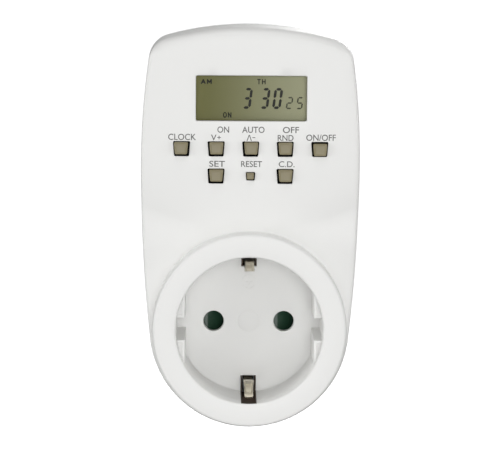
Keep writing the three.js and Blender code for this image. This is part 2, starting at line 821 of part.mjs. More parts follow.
const onBoard = MAIN_BOARD.front - GAP;
add("main_board", mainBoard(), MATERIAL.board);
add("relay_cover", relayCover(), MATERIAL.relay, RELAY.x, RELAY.z);
add("relay_base", relayBase(), MATERIAL.black, RELAY.x, RELAY.z);
add("relay_coil", relayCoil(), MATERIAL.copper, RELAY.x, COIL.z);
add("relay_armature", relayArmature(), MATERIAL.steel, RELAY.x, RELAY.z);
add("film_capacitor", block(6, 13, onBoard - 12, onBoard), MATERIAL.capacitor, 4.5, 60);
add("electrolytic_capacitor", bar(4, onBoard - 11.5, onBoard, 0, 0, 20), MATERIAL.black, 14, 60);
add("varistor", crossBar(4.5, 3.5, onBoard - 4.5, 0, 20), MATERIAL.relay, 4.5, 46);
add("rectifier", block(6.4, 8.4, onBoard - 2.6, onBoard), MATERIAL.black, 14, 49);
add("resistor", crossBar(1.3, 8, onBoard - 1.3, 0, 12), MATERIAL.capacitor, 14, 41);
add("fuse", block(8.4, 4.2, onBoard - 8, onBoard), MATERIAL.black, 0, 36);
add("backup_cell", bar(5.9, onBoard - 5.5, onBoard), MATERIAL.steel, -14, 38);

add("live_pin_wire", pinWire(-1), MATERIAL.brownWire);
add("neutral_pin_wire", pinWire(1), MATERIAL.blueWire);
add("live_contact_wire", contactWire(-1), MATERIAL.brownWire);
add("neutral_contact_wire", contactWire(1), MATERIAL.blueWire);

export default timer;
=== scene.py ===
import math

import bmesh
import bpy
from mathutils import Matrix, Vector
from mathutils.geometry import delaunay_2d_cdt
from mathutils.kdtree import KDTree


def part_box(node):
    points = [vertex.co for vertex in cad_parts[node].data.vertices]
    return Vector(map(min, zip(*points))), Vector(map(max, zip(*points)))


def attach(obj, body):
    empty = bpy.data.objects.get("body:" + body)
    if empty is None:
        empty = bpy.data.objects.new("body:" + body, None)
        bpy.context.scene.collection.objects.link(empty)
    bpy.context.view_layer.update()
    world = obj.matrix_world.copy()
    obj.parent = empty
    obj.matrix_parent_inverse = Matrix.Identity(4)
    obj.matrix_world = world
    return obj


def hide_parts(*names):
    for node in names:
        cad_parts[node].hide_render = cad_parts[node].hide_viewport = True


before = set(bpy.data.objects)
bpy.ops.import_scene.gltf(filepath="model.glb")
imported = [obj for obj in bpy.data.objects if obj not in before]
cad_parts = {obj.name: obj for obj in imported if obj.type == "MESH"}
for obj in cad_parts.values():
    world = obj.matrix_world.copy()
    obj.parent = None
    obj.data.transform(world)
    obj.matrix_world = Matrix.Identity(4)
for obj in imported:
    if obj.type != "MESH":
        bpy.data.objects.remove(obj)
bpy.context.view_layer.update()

# ---------------------------------------------------------------------------
# Sizes, in millimetres. The front view has X to the right and Z up, and a depth is a place
# along Y, where a lower number is nearer to the viewer. MM turns them into metres.
# ---------------------------------------------------------------------------

MM = 0.001


def box(node):
    """A CAD node's lowest and highest corners, in millimetres."""
    low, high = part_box(node)
    return Vector(low) / MM, Vector(high) / MM


def middle_of(node):
    """A CAD node's lowest and highest corners and its middle, in millimetres."""
    low, high = box(node)
    return low, high, (low + high) / 2


COVER_LOW, COVER_HIGH = box("front_cover")
INSERT_LOW, INSERT_HIGH = box("socket_insert")
LCD_LOW, LCD_HIGH = box("lcd_glass")
PANE_LOW, PANE_HIGH = box("display_window")
PIN_X = middle_of("neutral_pin")[2].x
PIN_PLACES = (-PIN_X, PIN_X)

# a lathed end that is closed by a face starts this far from its axis
AXIS = 0.01

# casing outline
BOTTOM_R = -COVER_LOW.z
HALF_WIDTH = COVER_HIGH.x
TOP_Z = 80.3
WIDEST_Z = 43.5
TOP_R = 84.0
UPPER_SIDE_R = 200.0
CORNER_R = 7.2
WALL = 2.0

# casing depths
RIM = COVER_LOW.y
LOW_FRONT = -54.0
PARTING = -36.0
SEAM = 0.15
BACK = -18.0
PANEL_WALL = 1.7
LIP = 0.2
REAR_EDGE = 1.8

# the round of the front edge, and how far the walls lean in
EDGE_SIDE = 0.9
EDGE_TOP = 2.3
DRAFT = 0.4
REAR_DRAFT = 0.5

# raised panel
CREASE_R = 64.4
CREASE_Z = 25.5 + CREASE_R
ROLL = 9.0
STEEP_RISE = 1.25
GENTLE_RISE = 1.0

# socket
RECESS_R = 19.5
RING_R = 25.7
RING_BASE_R = 25.95
COLLAR_R = 23.2
INSERT_R = INSERT_HIGH.x
INSERT_TOP = INSERT_LOW.y
INSERT_BACK = INSERT_HIGH.y
FLOOR = -42.5
FLOOR_BACK = -40.5
HOLE_R = 2.75
HOLE_EDGE = 0.25
INSERT_WALL = 1.6
RIB_Z = 4.7
RIB_END = -37.0
SLOT_HALF = 2.1
SLOT_INNER = 14.95
SLOT_OUTER = 21.2
GUIDE_CHORD = 17.15
GUIDE_FRONT = -56.6
GUIDE_POCKET = -56.2
GUIDE_WALL = 0.8
GUIDE_EDGE = 0.3

# keys and display
KEY_NODES = ["key_clock", "key_down", "key_up", "key_random", "key_on_off", "key_set", "key_reset",
             "key_countdown"]
RESET_SCALE = 0.56
UPPER_KEY_FRONT = -56.5
LOWER_KEY_FRONT = -56.25
FLANGE_FRONT = -53.9
FLANGE_BACK = -53.1
STEM_BACK = -49.2
CAP_SINK = 0.09
# keys whose middle is above this height are in the upper row
KEY_ROWS_MEET = 44
PRINT_RISE = 0.015
SCREW_HEAD = 1.9
WINDOW = (-14.5, 14.75, 55.25, 67.2)
SCREWS = ["screw_top_left", "screw_top_right", "screw_low_left", "screw_low_right"]

# plug
PLUG_R = 18.4
PLUG_FLAT = 16.8
PLUG_GROOVE = 15.3
GROOVE_HALF = 2.6
PLUG_HOLLOW_R = 14.4
PLUG_WALL = 2.5
PLUG_EDGE = 0.9
PIN_R = 2.4
PIN_ROUND = 1.7

# the back of the power board, where the solder is
BOARD_BACK = -23.2


# ---------------------------------------------------------------------------
# Building meshes. A Soup gathers points in millimetres and faces, and is welded into one mesh.
# ---------------------------------------------------------------------------


class Soup:
    def __init__(self):
        self.points = []
        self.faces = []

    def add(self, points, faces):
        start = len(self.points)
        self.points.extend(points)
        self.faces.extend([start + i for i in face] for face in faces)

    def loft(self, loops):
        """Walls between loops that have the same number of points."""
        count = len(loops[0])
        points = [p for loop in loops for p in loop]
        faces = []
        for k in range(len(loops) - 1):
            for i in range(count):
                j = (i + 1) % count
                a, b = k * count, (k + 1) * count
                faces.append((a + i, a + j, b + j, b + i))
        self.add(points, faces)

    def cap(self, loop):
        self.add(loop, [range(len(loop))])

    def solid(self, loops):
        """A closed loft with a flat face at each end."""
        self.loft(loops)
        self.cap(loops[0])
        self.cap(loops[-1])

    def slab(self, loop, front, back):
        """A flat plate between two depths, with a front-view loop as its outline."""
        self.solid([at_depth(loop, front), at_depth(loop, back)])

    def soft_slab(self, corners, radius, edge, front, back):
        """A plate with round corners and chamfered edges."""
        wide, narrow = rounded(corners, radius), rounded(corners, radius, -edge)
        self.solid([at_depth(narrow, front), at_depth(wide, front + edge), at_depth(wide, back - edge),
                    at_depth(narrow, back)])

    def tube(self, path, radius, sides=12):
        """A round bar along a path of 3-D points, closed at its ends."""
        loops = []
        side = None
        for i, point in enumerate(path):
            ahead = Vector(path[min(i + 1, len(path) - 1)]) - Vector(path[max(i - 1, 0)])
            ahead.normalize()
            if side is None:
                side = ahead.orthogonal().normalized()
            side = (side - ahead * side.dot(ahead)).normalized()
            up = ahead.cross(side)
            loops.append([tuple(Vector(point) + side * u + up * v) for u, v in circle(radius, count=sides)])
        self.solid(loops)

    def welded(self, name, weld=0.002):
        """The soup as a mesh in metres, with points nearer than a distance joined."""
        mesh = bpy.data.meshes.new(name)
        mesh.from_pydata([tuple(c * MM for c in p) for p in self.points], [], self.faces)
        work = bmesh.new()
        work.from_mesh(mesh)
        bmesh.ops.remove_doubles(work, verts=work.verts, dist=weld * MM)
        bmesh.ops.dissolve_degenerate(work, edges=work.edges, dist=1e-7)
        bmesh.ops.recalc_face_normals(work, faces=work.faces)
        work.to_mesh(mesh)
        work.free()
        return mesh


def at_depth(loop, depth):
    """A front-view loop placed at a depth, which may be a number or a function of X and Z."""
    if callable(depth):
        return [(x, depth(x, z), z) for x, z in loop]
    return [(x, depth, z) for x, z in loop]


def circle(radius, x=0.0, z=0.0, count=48):
    turns = [2 * math.pi * i / count for i in range(count)]
    return [(x + radius * math.cos(t), z + radius * math.sin(t)) for t in turns]


def lathe(profile, x=0.0, z=0.0, count=48):
    """Loops for [radius, depth] points about an axis along Y."""
    return [at_depth(circle(r, x, z, count), y) for r, y in profile]


def fillet(r0, y0, r1, y1, steps=4, convex=True):
    """[radius, depth] points of a quarter round between two points, without the first."""
    points = []
    for sin, cos in quarter_turn(steps, 1):
        along, across = (sin, 1 - cos) if convex else (1 - cos, sin)
        points.append((r0 + (r1 - r0) * across, y0 + (y1 - y0) * along))
    return points


def rounded(corners, radius, grow=0.0, steps=5):
    """A convex counter-clockwise polygon with round corners, grown outwards by a margin."""
    loop = []
    count = len(corners)
    for i, corner in enumerate(corners):
        here = Vector(corner)
        before = (here - Vector(corners[i - 1])).normalized()
        after = (Vector(corners[(i + 1) % count]) - here).normalized()
        n0 = Vector((before.y, -before.x))
        n1 = Vector((after.y, -after.x))
        centre = here - (n0 + n1) * radius / (1 + n0.dot(n1))
        start = math.atan2(n0.y, n0.x)
        turn = (math.atan2(n1.y, n1.x) - start) % (2 * math.pi)
        for k in range(steps + 1):
            t = start + turn * k / steps
            loop.append((centre.x + (radius + grow) * math.cos(t), centre.y + (radius + grow) * math.sin(t)))
    return loop


def rectangle(x0, x1, z0, z1):
    return [(x0, z0), (x1, z0), (x1, z1), (x0, z1)]


def between_0_and_1(value):
    return min(max(value, 0), 1)


def mirrored(side, near, far):
    """Two distances from the middle as places on one side of it, the lower one first."""
    return sorted((side * near, side * far))


def quarter_turn(steps, first=0):
    """The sine and cosine of angles from 0 to 90 degrees."""
    turns = [math.pi / 2 * k / steps for k in range(first, steps + 1)]
    return [(math.sin(t), math.cos(t)) for t in turns]


def both_ends(half, low, high):
    """A profile that is alike at both ends, from its [radius, distance to the end] points."""
    return [(r, low + d) for r, d in half] + [(r, high - d) for r, d in reversed(half)]


def both_halves(half):
    """A strip's line from the [y, z] points of its upper half, which ends in the middle."""
    return [(y, -z) for y, z in half] + half[::-1][1:]


def inside(point, loop):
    """Whether a front-view point is inside a loop."""
    x, z = point
    found = False
    for (x0, z0), (x1, z1) in zip(loop, loop[1:] + loop[:1]):
        if (z0 > z) != (z1 > z) and x < (x1 - x0) * (z - z0) / (z1 - z0) + x0:
            found = not found
    return found


def add_sheet(soup, outer, holes, depth, spacing=3.0, lines=(), extra=()):
    """A triangulated surface inside a loop and outside holes, at a depth. Lines are kept as edges."""
    points = []
    edges = []
    for loop in [outer, *holes]:
        start = len(points)
        points.extend(loop)
        edges.extend((start + i, start + (i + 1) % len(loop)) for i in range(len(loop)))
    for line in lines:
        start = len(points)
        points.extend(line)
        edges.extend((start + i, start + i + 1) for i in range(len(line) - 1))
    tree = KDTree(len(points))
    for i, (x, z) in enumerate(points):
        tree.insert((x, z, 0), i)
    tree.balance()

    def usable(point, gap):
        clear = tree.find((point[0], point[1], 0))[2] > gap
        return clear and inside(point, outer) and not any(inside(point, hole) for hole in holes)

    free = [p for p in extra if usable(p, 0.3 * spacing)]
    near = KDTree(max(len(free), 1))
    for i, (x, z) in enumerate(free):
        near.insert((x, z, 0), i)
    near.balance()
    if spacing:
        xs = [x for x, _ in outer]
        zs = [z for _, z in outer]
        rows = int((max(zs) - min(zs)) / spacing) + 1
        columns = int((max(xs) - min(xs)) / spacing) + 1
        for row in range(rows):
            for column in range(columns):
                x = min(xs) + (column + 0.5 * (row % 2)) * spacing
                point = (x, min(zs) + row * spacing)
                far = not extra or near.find((point[0], point[1], 0))[2] > 0.7 * spacing
                if far and usable(point, 0.6 * spacing):
                    free.append(point)
    points.extend(free)
    found = delaunay_2d_cdt([Vector(p) for p in points], edges, [], 0, 1e-6)
    flat = [(p.x, p.y) for p in found[0]]
    faces = []
    for face in found[2]:
        middle = tuple(sum(flat[i][k] for i in face) / len(face) for k in (0, 1))
        if inside(middle, outer) and not any(inside(middle, hole) for hole in holes):
            faces.append(face)
    used = sorted({i for face in faces for i in face})
    order = {old: new for new, old in enumerate(used)}
    soup.add(at_depth([flat[i] for i in used], depth), [[order[i] for i in face] for face in faces])


def add_object(name, data):
    thing = bpy.data.objects.new(name, data)
    bpy.context.scene.collection.objects.link(thing)
    return thing


def make(name, soup, material, body="casing", replaces=(), sharp=35, weld=0.002):
    """A welded mesh object from a soup, riding on a CAD body."""
    thing = add_object(name, soup.welded(name, weld))
    thing.data.materials.append(material)
    shade(thing, sharp)
    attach(thing, body)
    if replaces:
        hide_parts(*replaces)
    return thing


def shade(thing, angle):
    thing.data.shade_smooth()
    thing.data.set_sharp_from_angle(angle=math.radians(angle))


def apply_modifiers(thing, sharp=35):
    """Replaces an object's mesh with its modified one."""
    graph = bpy.context.evaluated_depsgraph_get()
    done = bpy.data.meshes.new_from_object(thing.evaluated_get(graph))
    thing.modifiers.clear()
    thing.data = done
    shade(thing, sharp)


def combine(thing, soup, operation="DIFFERENCE", sharp=35):
    """Cuts a closed soup out of an object, or joins it on."""
    tool = add_object("tool", soup.welded("tool"))
    boolean = thing.modifiers.new("combine", "BOOLEAN")
    boolean.operation = operation
    boolean.solver = "EXACT"
    boolean.object = tool
    apply_modifiers(thing, sharp)
    bpy.data.objects.remove(tool)


def blocks(*sizes):
    """A soup of boxes, given as (x0, x1, y0, y1, z0, z1)."""
    soup = Soup()
    for x0, x1, y0, y1, z0, z1 in sizes:
        soup.slab(rectangle(x0, x1, z0, z1), y0, y1)
    return soup


def cad_soup(node, width=0.15, segments=2):
    """A CAD node's own shape with its sharp edges rounded."""
    work = bmesh.new()
    work.from_mesh(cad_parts[node].data)
    bmesh.ops.remove_doubles(work, verts=work.verts, dist=1e-6)
    bmesh.ops.dissolve_limit(work, angle_limit=0.02, verts=work.verts, edges=work.edges)
    edges = [e for e in work.edges if len(e.link_faces) == 2 and e.calc_face_angle(0) > math.radians(40)]
    bmesh.ops.bevel(work, geom=edges, offset=width * MM, segments=segments, profile=0.5, affect="EDGES",
                    clamp_overlap=True)
    work.verts.index_update()
    soup = Soup()
    soup.add([tuple(v.co / MM) for v in work.verts], [[v.index for v in face.verts] for face in work.faces])
    work.free()
    return soup


def smooth_path(points, steps=8):
    """A smooth line through points with any number of coordinates."""
    path = []
    last = len(points) - 1
    for i in range(last):
        p0, p1, p2, p3 = (Vector(points[min(max(i + k, 0), last)]) for k in (-1, 0, 1, 2))
        for step in range(steps):
            t = step / steps
            path.append(tuple(p1 + (p2 - p0) * t / 2 + (2 * p0 - 5 * p1 + 4 * p2 - p3) * t * t / 2
                              + (3 * p1 - p0 - 3 * p2 + p3) * t**3 / 2))
    path.append(tuple(points[-1]))
    return path


def add_strip(soup, line, thickness, half_width, dent=None, across=2, x=0.0):
    """A bent sheet-metal strip along a line of [y, z] points.

    half_width and dent are functions of the distance to the nearer end; dent also takes a share
    of the width, from -1 to 1, and presses the sheet outwards.
    """
    lengths = [0.0]
    for (y0, z0), (y1, z1) in zip(line, line[1:]):
        lengths.append(lengths[-1] + math.hypot(y1 - y0, z1 - z0))
    inner, outer = [], []
    for i, (y, z) in enumerate(line):
        ahead = Vector(line[min(i + 1, len(line) - 1)]) - Vector(line[max(i - 1, 0)])
        ahead.normalize()
        normal = Vector((-ahead.y, ahead.x))
        to_end = min(lengths[i], lengths[-1] - lengths[i])
        reach = half_width(to_end)
        for k in range(across + 1):
            share = 2 * k / across - 1
            push = dent(to_end, share) if dent else 0
            for row, side in ((inner, 0.5), (outer, -0.5)):
                at = Vector((y, z)) + normal * (thickness * side - push)
                row.append((x + share * reach, at.x, at.y))
    columns = across + 1
    count = len(line)
    faces = []

    def index(i, k, layer):
        return layer * count * columns + i * columns + k

    for layer in (0, 1):
        for i in range(count - 1):
            for k in range(across):
                faces.append((index(i, k, layer), index(i, k + 1, layer), index(i + 1, k + 1, layer),
                              index(i + 1, k, layer)))
    for i in range(count - 1):
        for k in (0, across):
            faces.append((index(i, k, 0), index(i + 1, k, 0), index(i + 1, k, 1), index(i, k, 1)))
    for k in range(across):
        for i in (0, count - 1):
            faces.append((index(i, k, 0), index(i, k + 1, 0), index(i, k + 1, 1), index(i, k, 1)))
    soup.add(inner + outer, faces)


# ---------------------------------------------------------------------------
# Materials
# ---------------------------------------------------------------------------


def set_inputs(node, **values):
    """Sets a shader node's inputs. An underscore stands for a space in an input's name."""
    for name, value in values.items():
        node.inputs[name.replace("_", " ")].default_value = value


def add_node(material, kind, data_type=None, **values):
    node = material.node_tree.nodes.new("ShaderNode" + kind)
    if data_type:
        node.data_type = data_type
    set_inputs(node, **values)
    return node


def connect(source, output, target, socket):
    source.id_data.links.new(source.outputs[output], target.inputs[socket])


def surface(name, color, roughness, metallic=0.0, coat=0.0, grain=900, bump=0.03, shift=0.03,
            stretch=(1, 1, 1), rough_shift=0.06, **more):
    """A procedural finish: slow colour drift, fine grain in the gloss and in the relief."""
    material = bpy.data.materials.new(name)
    material.use_nodes = True
    shader = material.node_tree.nodes["Principled BSDF"]
    set_inputs(shader, Metallic=metallic, Coat_Weight=coat, **more)
    place = add_node(material, "TexCoord")
    scale = add_node(material, "Mapping", Scale=stretch)
    connect(place, "Object", scale, "Vector")

    slow = add_node(material, "TexNoise", Scale=45, Detail=3)
    connect(scale, "Vector", slow, "Vector")
    darker = (*[c * (1 - shift) for c in color], 1)
    lighter = (*[min(c * (1 + shift), 1) for c in color], 1)
    tone = add_node(material, "Mix", "RGBA", A=darker, B=lighter)
    connect(slow, "Fac", tone, "Factor")
    connect(tone, "Result", shader, "Base Color")

    fine = add_node(material, "TexNoise", Scale=grain, Detail=4)
    connect(scale, "Vector", fine, "Vector")
    low, high = max(roughness - rough_shift, 0.02), min(roughness + rough_shift, 1)
    gloss = add_node(material, "MapRange", To_Min=low, To_Max=high)
    connect(fine, "Fac", gloss, "Value")
    connect(gloss, "Result", shader, "Roughness")
    relief = add_node(material, "Bump", Strength=bump, Distance=0.0001)
    connect(fine, "Fac", relief, "Height")
    connect(relief, "Normal", shader, "Normal")
    return material


def lcd_surface():
    """The reflective film behind the display's segments: olive, with a painted reflection that turns it
    lighter to the right.
    """
    material = surface("lcd_film", (0.235, 0.225, 0.060), 0.34, grain=1600, bump=0.02,
                       Specular_IOR_Level=0.15)
    nodes = material.node_tree.nodes
    olive = next(n for n in nodes if n.type == "MIX")
    place = add_node(material, "TexCoord")
    split = add_node(material, "SeparateXYZ")
    connect(place, "Object", split, "Vector")
    # painted reflection: the film's olive is blended towards a pale olive from left to right across the
    # window
    across = add_node(material, "MapRange", From_Min=WINDOW[0] * MM, From_Max=WINDOW[1] * MM * 1.1)
    across.interpolation_type = "SMOOTHSTEP"
    connect(split, "X", across, "Value")
    painted_reflection = add_node(material, "Mix", "RGBA", B=(0.56, 0.555, 0.36, 1))
    connect(olive, "Result", painted_reflection, "A")
    connect(across, "Result", painted_reflection, "Factor")
    connect(painted_reflection, "Result", nodes["Principled BSDF"], "Base Color")
    return material


def clear_surface():
    """A thin clear sheet: light passes, and a faint reflection stays."""
    material = surface("clear_plastic", (0.04, 0.04, 0.04), 0.15, grain=700, bump=0.01, rough_shift=0.03)
    nodes = material.node_tree.nodes
    clear = add_node(material, "BsdfTransparent", Color=(0.96, 0.965, 0.95, 1))
    edge = add_node(material, "Fresnel", IOR=1.3)
    mix = add_node(material, "MixShader")
    connect(edge, "Fac", mix, "Fac")
    connect(clear, "BSDF", mix, 1)
    connect(nodes["Principled BSDF"], "BSDF", mix, 2)
    connect(mix, "Shader", nodes["Material Output"], "Surface")
    return material


WHITE = surface("white_plastic", (0.80, 0.80, 0.785), 0.45, grain=2600, bump=0.04, shift=0.006)
TAUPE = surface("taupe_plastic", (0.215, 0.185, 0.100), 0.42, grain=2200, bump=0.08, shift=0.05)
GREEN = surface("green_plastic", (0.018, 0.050, 0.030), 0.3, grain=1500, bump=0.05, shift=0.1)
BROWN = surface("brown_plastic", (0.060, 0.035, 0.021), 0.55, grain=1500, bump=0.1, shift=0.12)
NICKEL = surface("nickel", (0.66, 0.61, 0.50), 0.3, metallic=1.0, grain=500, bump=0.1, stretch=(1, 6, 1),
                 shift=0.06)
BRASS = surface("brass", (0.72, 0.55, 0.27), 0.32, metallic=1.0, grain=500, bump=0.1, stretch=(1, 6, 1),
                shift=0.08)
STEEL = surface("zinc_steel", (0.56, 0.56, 0.57), 0.34, metallic=1.0, grain=700, bump=0.12, shift=0.08)
COPPER = surface("enamelled_copper", (0.62, 0.27, 0.12), 0.35, metallic=0.8, grain=700, bump=0.1, coat=0.4)
INK = surface("grey_print", (0.12, 0.12, 0.115), 0.6, grain=3000, bump=0.1, shift=0.1)
SEGMENT = surface("lcd_segment", (0.014, 0.015, 0.010), 0.4, grain=3000, bump=0.05, shift=0.1,
                  Specular_IOR_Level=0.15)
FAINT_SEGMENT = surface("lcd_faint_segment", (0.085, 0.085, 0.055), 0.4, grain=3000, bump=0.05, shift=0.1,
                        Specular_IOR_Level=0.15)
LCD_FILM = lcd_surface()
RUBBER = surface("silicone", (0.33, 0.33, 0.32), 0.75, grain=1500, bump=0.15, shift=0.06)
BLACK = surface("black_plastic", (0.014, 0.014, 0.015), 0.45, grain=1500, bump=0.15, shift=0.15)
# near-black used as painted shade: the sleeves inside the key openings and the keys' flanges seen through the
# gaps
GAP_SHADE_BLACK = surface("painted_shade_black", (0.004, 0.004, 0.004), 0.8, grain=1500, bump=0.1, shift=0.1,
                 Specular_IOR_Level=0.05)
BLUE = surface("blue_plastic", (0.03, 0.10, 0.36), 0.38, grain=1300, bump=0.08, shift=0.08)
YELLOW = surface("yellow_plastic", (0.62, 0.40, 0.035), 0.35, grain=1300, bump=0.1, shift=0.08)
BOARD = surface("circuit_board", (0.035, 0.15, 0.055), 0.32, grain=1200, bump=0.12, shift=0.2, coat=0.3)
BROWN_WIRE = surface("brown_insulation", (0.13, 0.06, 0.032), 0.5, grain=1500, bump=0.1)
BLUE_WIRE = surface("blue_insulation", (0.02, 0.08, 0.38), 0.5, grain=1500, bump=0.1)
PANE = clear_surface()


# ---------------------------------------------------------------------------
# Casing
# ---------------------------------------------------------------------------


def outline_arcs():
    """The right half of the casing's outline as arcs: centre, radius, first and last angle, steps."""
    lower_r = (HALF_WIDTH**2 + WIDEST_Z**2 - BOTTOM_R**2) / (2 * (HALF_WIDTH - BOTTOM_R))
    lower = (HALF_WIDTH - lower_r, WIDEST_Z)
    upper = (HALF_WIDTH - UPPER_SIDE_R, WIDEST_Z)
    top = (0.0, TOP_Z - TOP_R)
    # the corner's centre is at one distance from each of the arcs beside it
    from_side, from_top = UPPER_SIDE_R - CORNER_R, TOP_R - CORNER_R
    dx, dz = top[0] - upper[0], top[1] - upper[1]
    apart = math.hypot(dx, dz)
    along = (from_side**2 - from_top**2 + apart**2) / (2 * apart)
    across = math.sqrt(from_side**2 - along**2)
    corner = (upper[0] + (dx * along - dz * across) / apart, upper[1] + (dz * along + dx * across) / apart)
    bottom_end = math.atan2(-lower[1], -lower[0])
    side_end = math.atan2(corner[1] - upper[1], corner[0] - upper[0])
    top_start = math.atan2(corner[1] - top[1], corner[0] - top[0])
    # one point of the lower side arc lies just where the panel's crease meets the edge's round
    low, high = bottom_end, 0.0
    for _ in range(40):
        middle = (low + high) / 2
        x = lower[0] + (lower_r - EDGE_SIDE - DRAFT) * math.cos(middle)
        z = lower[1] + (lower_r - EDGE_SIDE - DRAFT) * math.sin(middle)
        low, high = (middle, high) if crease_distance(x, z) < 0 else (low, middle)
    return [
        ((0.0, 0.0), BOTTOM_R, -math.pi / 2, bottom_end, 44),
        (lower, lower_r, bottom_end, low, 10),
        (lower, lower_r, low, 0.0, 8),
        (upper, UPPER_SIDE_R, 0.0, side_end, 16),
        (corner, CORNER_R, side_end, top_start, 14),
        (top, TOP_R, top_start, math.pi / 2, 24),
    ]


def crease_distance(x, z):
    """How far a point lies above the panel's lower edge."""
    return CREASE_R - math.hypot(x, z - CREASE_Z)


def front_depth(x, z):
    """Depth of the front surface: the low front, and the crowned panel that rolls back to it."""
    above = crease_distance(x, z)
    if above <= 0:
        return LOW_FRONT
    rise = STEEP_RISE * (1 - math.exp(-above / 6)) + GENTLE_RISE * (1 - math.exp(-above / 25))
    return LOW_FRONT - rise * (1 - 0.12 * (x / 29) ** 2)


def case_outline():
    """The outline's points, each with its outward direction, counter-clockwise from the bottom."""
    right = []
    for (cx, cz), radius, start, end, steps in outline_arcs():
        for i in range(steps):
            t = start + (end - start) * i / steps
            right.append((cx + radius * math.cos(t), cz + radius * math.sin(t), math.cos(t), math.sin(t)))
    left = [(-x, z, -nx, nz) for x, z, nx, nz in reversed(right[1:])]
    return right + [(0.0, TOP_Z, 0.0, 1.0)] + left


OUTLINE = case_outline()


def inset_outline(inset):
    """The outline moved inwards by a distance, or by one distance for each point."""
    insets = inset if isinstance(inset, list) else [inset] * len(OUTLINE)
    return [(x - nx * d, z - nz * d) for (x, z, nx, nz), d in zip(OUTLINE, insets)]


def key_corners(node, margin=0.0, shift=(0.0, 0.0)):
    """The trapezium of a key's opening, grown by a margin and moved."""
    low, high = box(node)
    scale = RESET_SCALE if node == "key_reset" else 1.0
    x, z = (low.x + high.x) / 2 + shift[0], (low.z + high.z) / 2 + shift[1]
    top, bottom, half = 2.25 * scale + margin, 1.95 * scale + margin, 1.975 * scale + margin
    return [(x - bottom, z - half), (x + bottom, z - half), (x + top, z + half), (x - top, z + half)]


def ring_angles():
    """Directions round the socket ring. Two of them meet the panel's crease."""
    count = 176
    angles = [2 * math.pi * i / count for i in range(count)]
    z = (RING_BASE_R**2 - CREASE_R**2 + CREASE_Z**2) / (2 * CREASE_Z)
    meeting = math.acos(math.sqrt(RING_BASE_R**2 - z * z) / RING_BASE_R)
    for target in (meeting, math.pi - meeting):
        nearest = min(range(count), key=lambda i: abs(angles[i] - target))
        angles[nearest] = target
    return angles


RING_ANGLES = ring_angles()


def ring_circle(radius):
    return [(radius * math.cos(t), radius * math.sin(t)) for t in RING_ANGLES]


def crease_lines(edge, ring):
    """The panel's lower edge, left and right, from the casing's edge to the socket ring."""
    steps = 60
    reach = math.asin(28.6 / CREASE_R)
    arc = [(CREASE_R * math.sin(reach * i / steps), CREASE_Z - CREASE_R * math.cos(reach * i / steps))
           for i in range(steps + 1)]
    lines = []
    for side in (1, -1):
        points = [(side * x, z) for x, z in arc]
        start = min((p for p in ring if p[0] * side > 0 and p[1] > 0), key=lambda p: abs(crease_distance(*p)))
        end = min((p for p in edge if p[0] * side > 0 and p[1] > 20), key=lambda p: abs(crease_distance(*p)))
        between = [p for p in points if math.hypot(*p) > RING_BASE_R + 0.25 and abs(p[0]) < abs(end[0]) - 0.3]
        lines.append([start, *between, end])
    return lines


def roll_points():
    """Points along arcs beside the crease, where the panel rolls back."""
    points = []
    for k in range(1, 10):
        radius = CREASE_R - ROLL * k / 9
        reach = math.asin(min(29 / radius, 1))
        steps = 44
        for i in range(-steps, steps + 1):
            t = reach * (i + 0.5 * (k % 2)) / steps
            points.append((radius * math.sin(t), CREASE_Z - radius * math.cos(t)))
    return points


def smooth_step(value):
    share = between_0_and_1(value)
    return share * share * (3 - 2 * share)


def on_front(loop, sunk=0.0):
    """A front-view loop laid on the front surface, or some way behind it."""
    return [(x, front_depth(x, z) + sunk, z) for x, z in loop]


def behind_front(x, z):
    """Depth of the front wall's inner face."""
    return front_depth(x, z) + PANEL_WALL


def add_cover_edge(soup):
    """The cover's walls and the round of its front edge. Gives the outline of the front."""
    # the edge's round is wider along the top, and ends there in a fine line
    topness = [smooth_step((nz - 0.25) / 0.6) if z > WIDEST_Z else 0 for _, z, _, nz in OUTLINE]
    width = [EDGE_SIDE + (EDGE_TOP - EDGE_SIDE) * t for t in topness]
    rise = [0.04 + 0.30 * t for t in topness]
    # the walls lean in towards the front, but not below the socket
    draft = [DRAFT * min(nz + 1, 1) for *_, nz in OUTLINE]
    front = inset_outline([w + d for w, d in zip(width, draft)])
    start = [front_depth(x, z) for x, z in front]
    back = PARTING - SEAM
    loops = [at_depth(inset_outline(LIP), back), at_depth(inset_outline(0.0), back - LIP)]
    for part in (0, 0.015, 0.06, 0.14, 0.26, 0.42, 0.62, 0.82, 1):
        rest = 1 - part
        loop = inset_outline([w * part + d for w, d in zip(width, draft)])
        drops = [w * (0.95 * (1 - math.sqrt(1 - rest * rest)) + s * rest) for w, s in zip(width, rise)]
        loops.append([(x, y + drop, z) for (x, z), y, drop in zip(loop, start, drops)])
    soup.loft(loops)
    return front


def add_opening(soup, corners, radius, edge):
    """The rounded edge and the wall of an opening in the front. Gives the opening's inner outline."""
    sections = [(1, 0), (0.62, 0.07), (0.3, 0.3), (0.08, 0.62), (0, 1)]
    loops = [on_front(rounded(corners, radius, edge * grow), edge * sunk) for grow, sunk in sections]
    hole = rounded(corners, radius)
    soup.loft([*loops, at_depth(hole, behind_front)])
    return hole


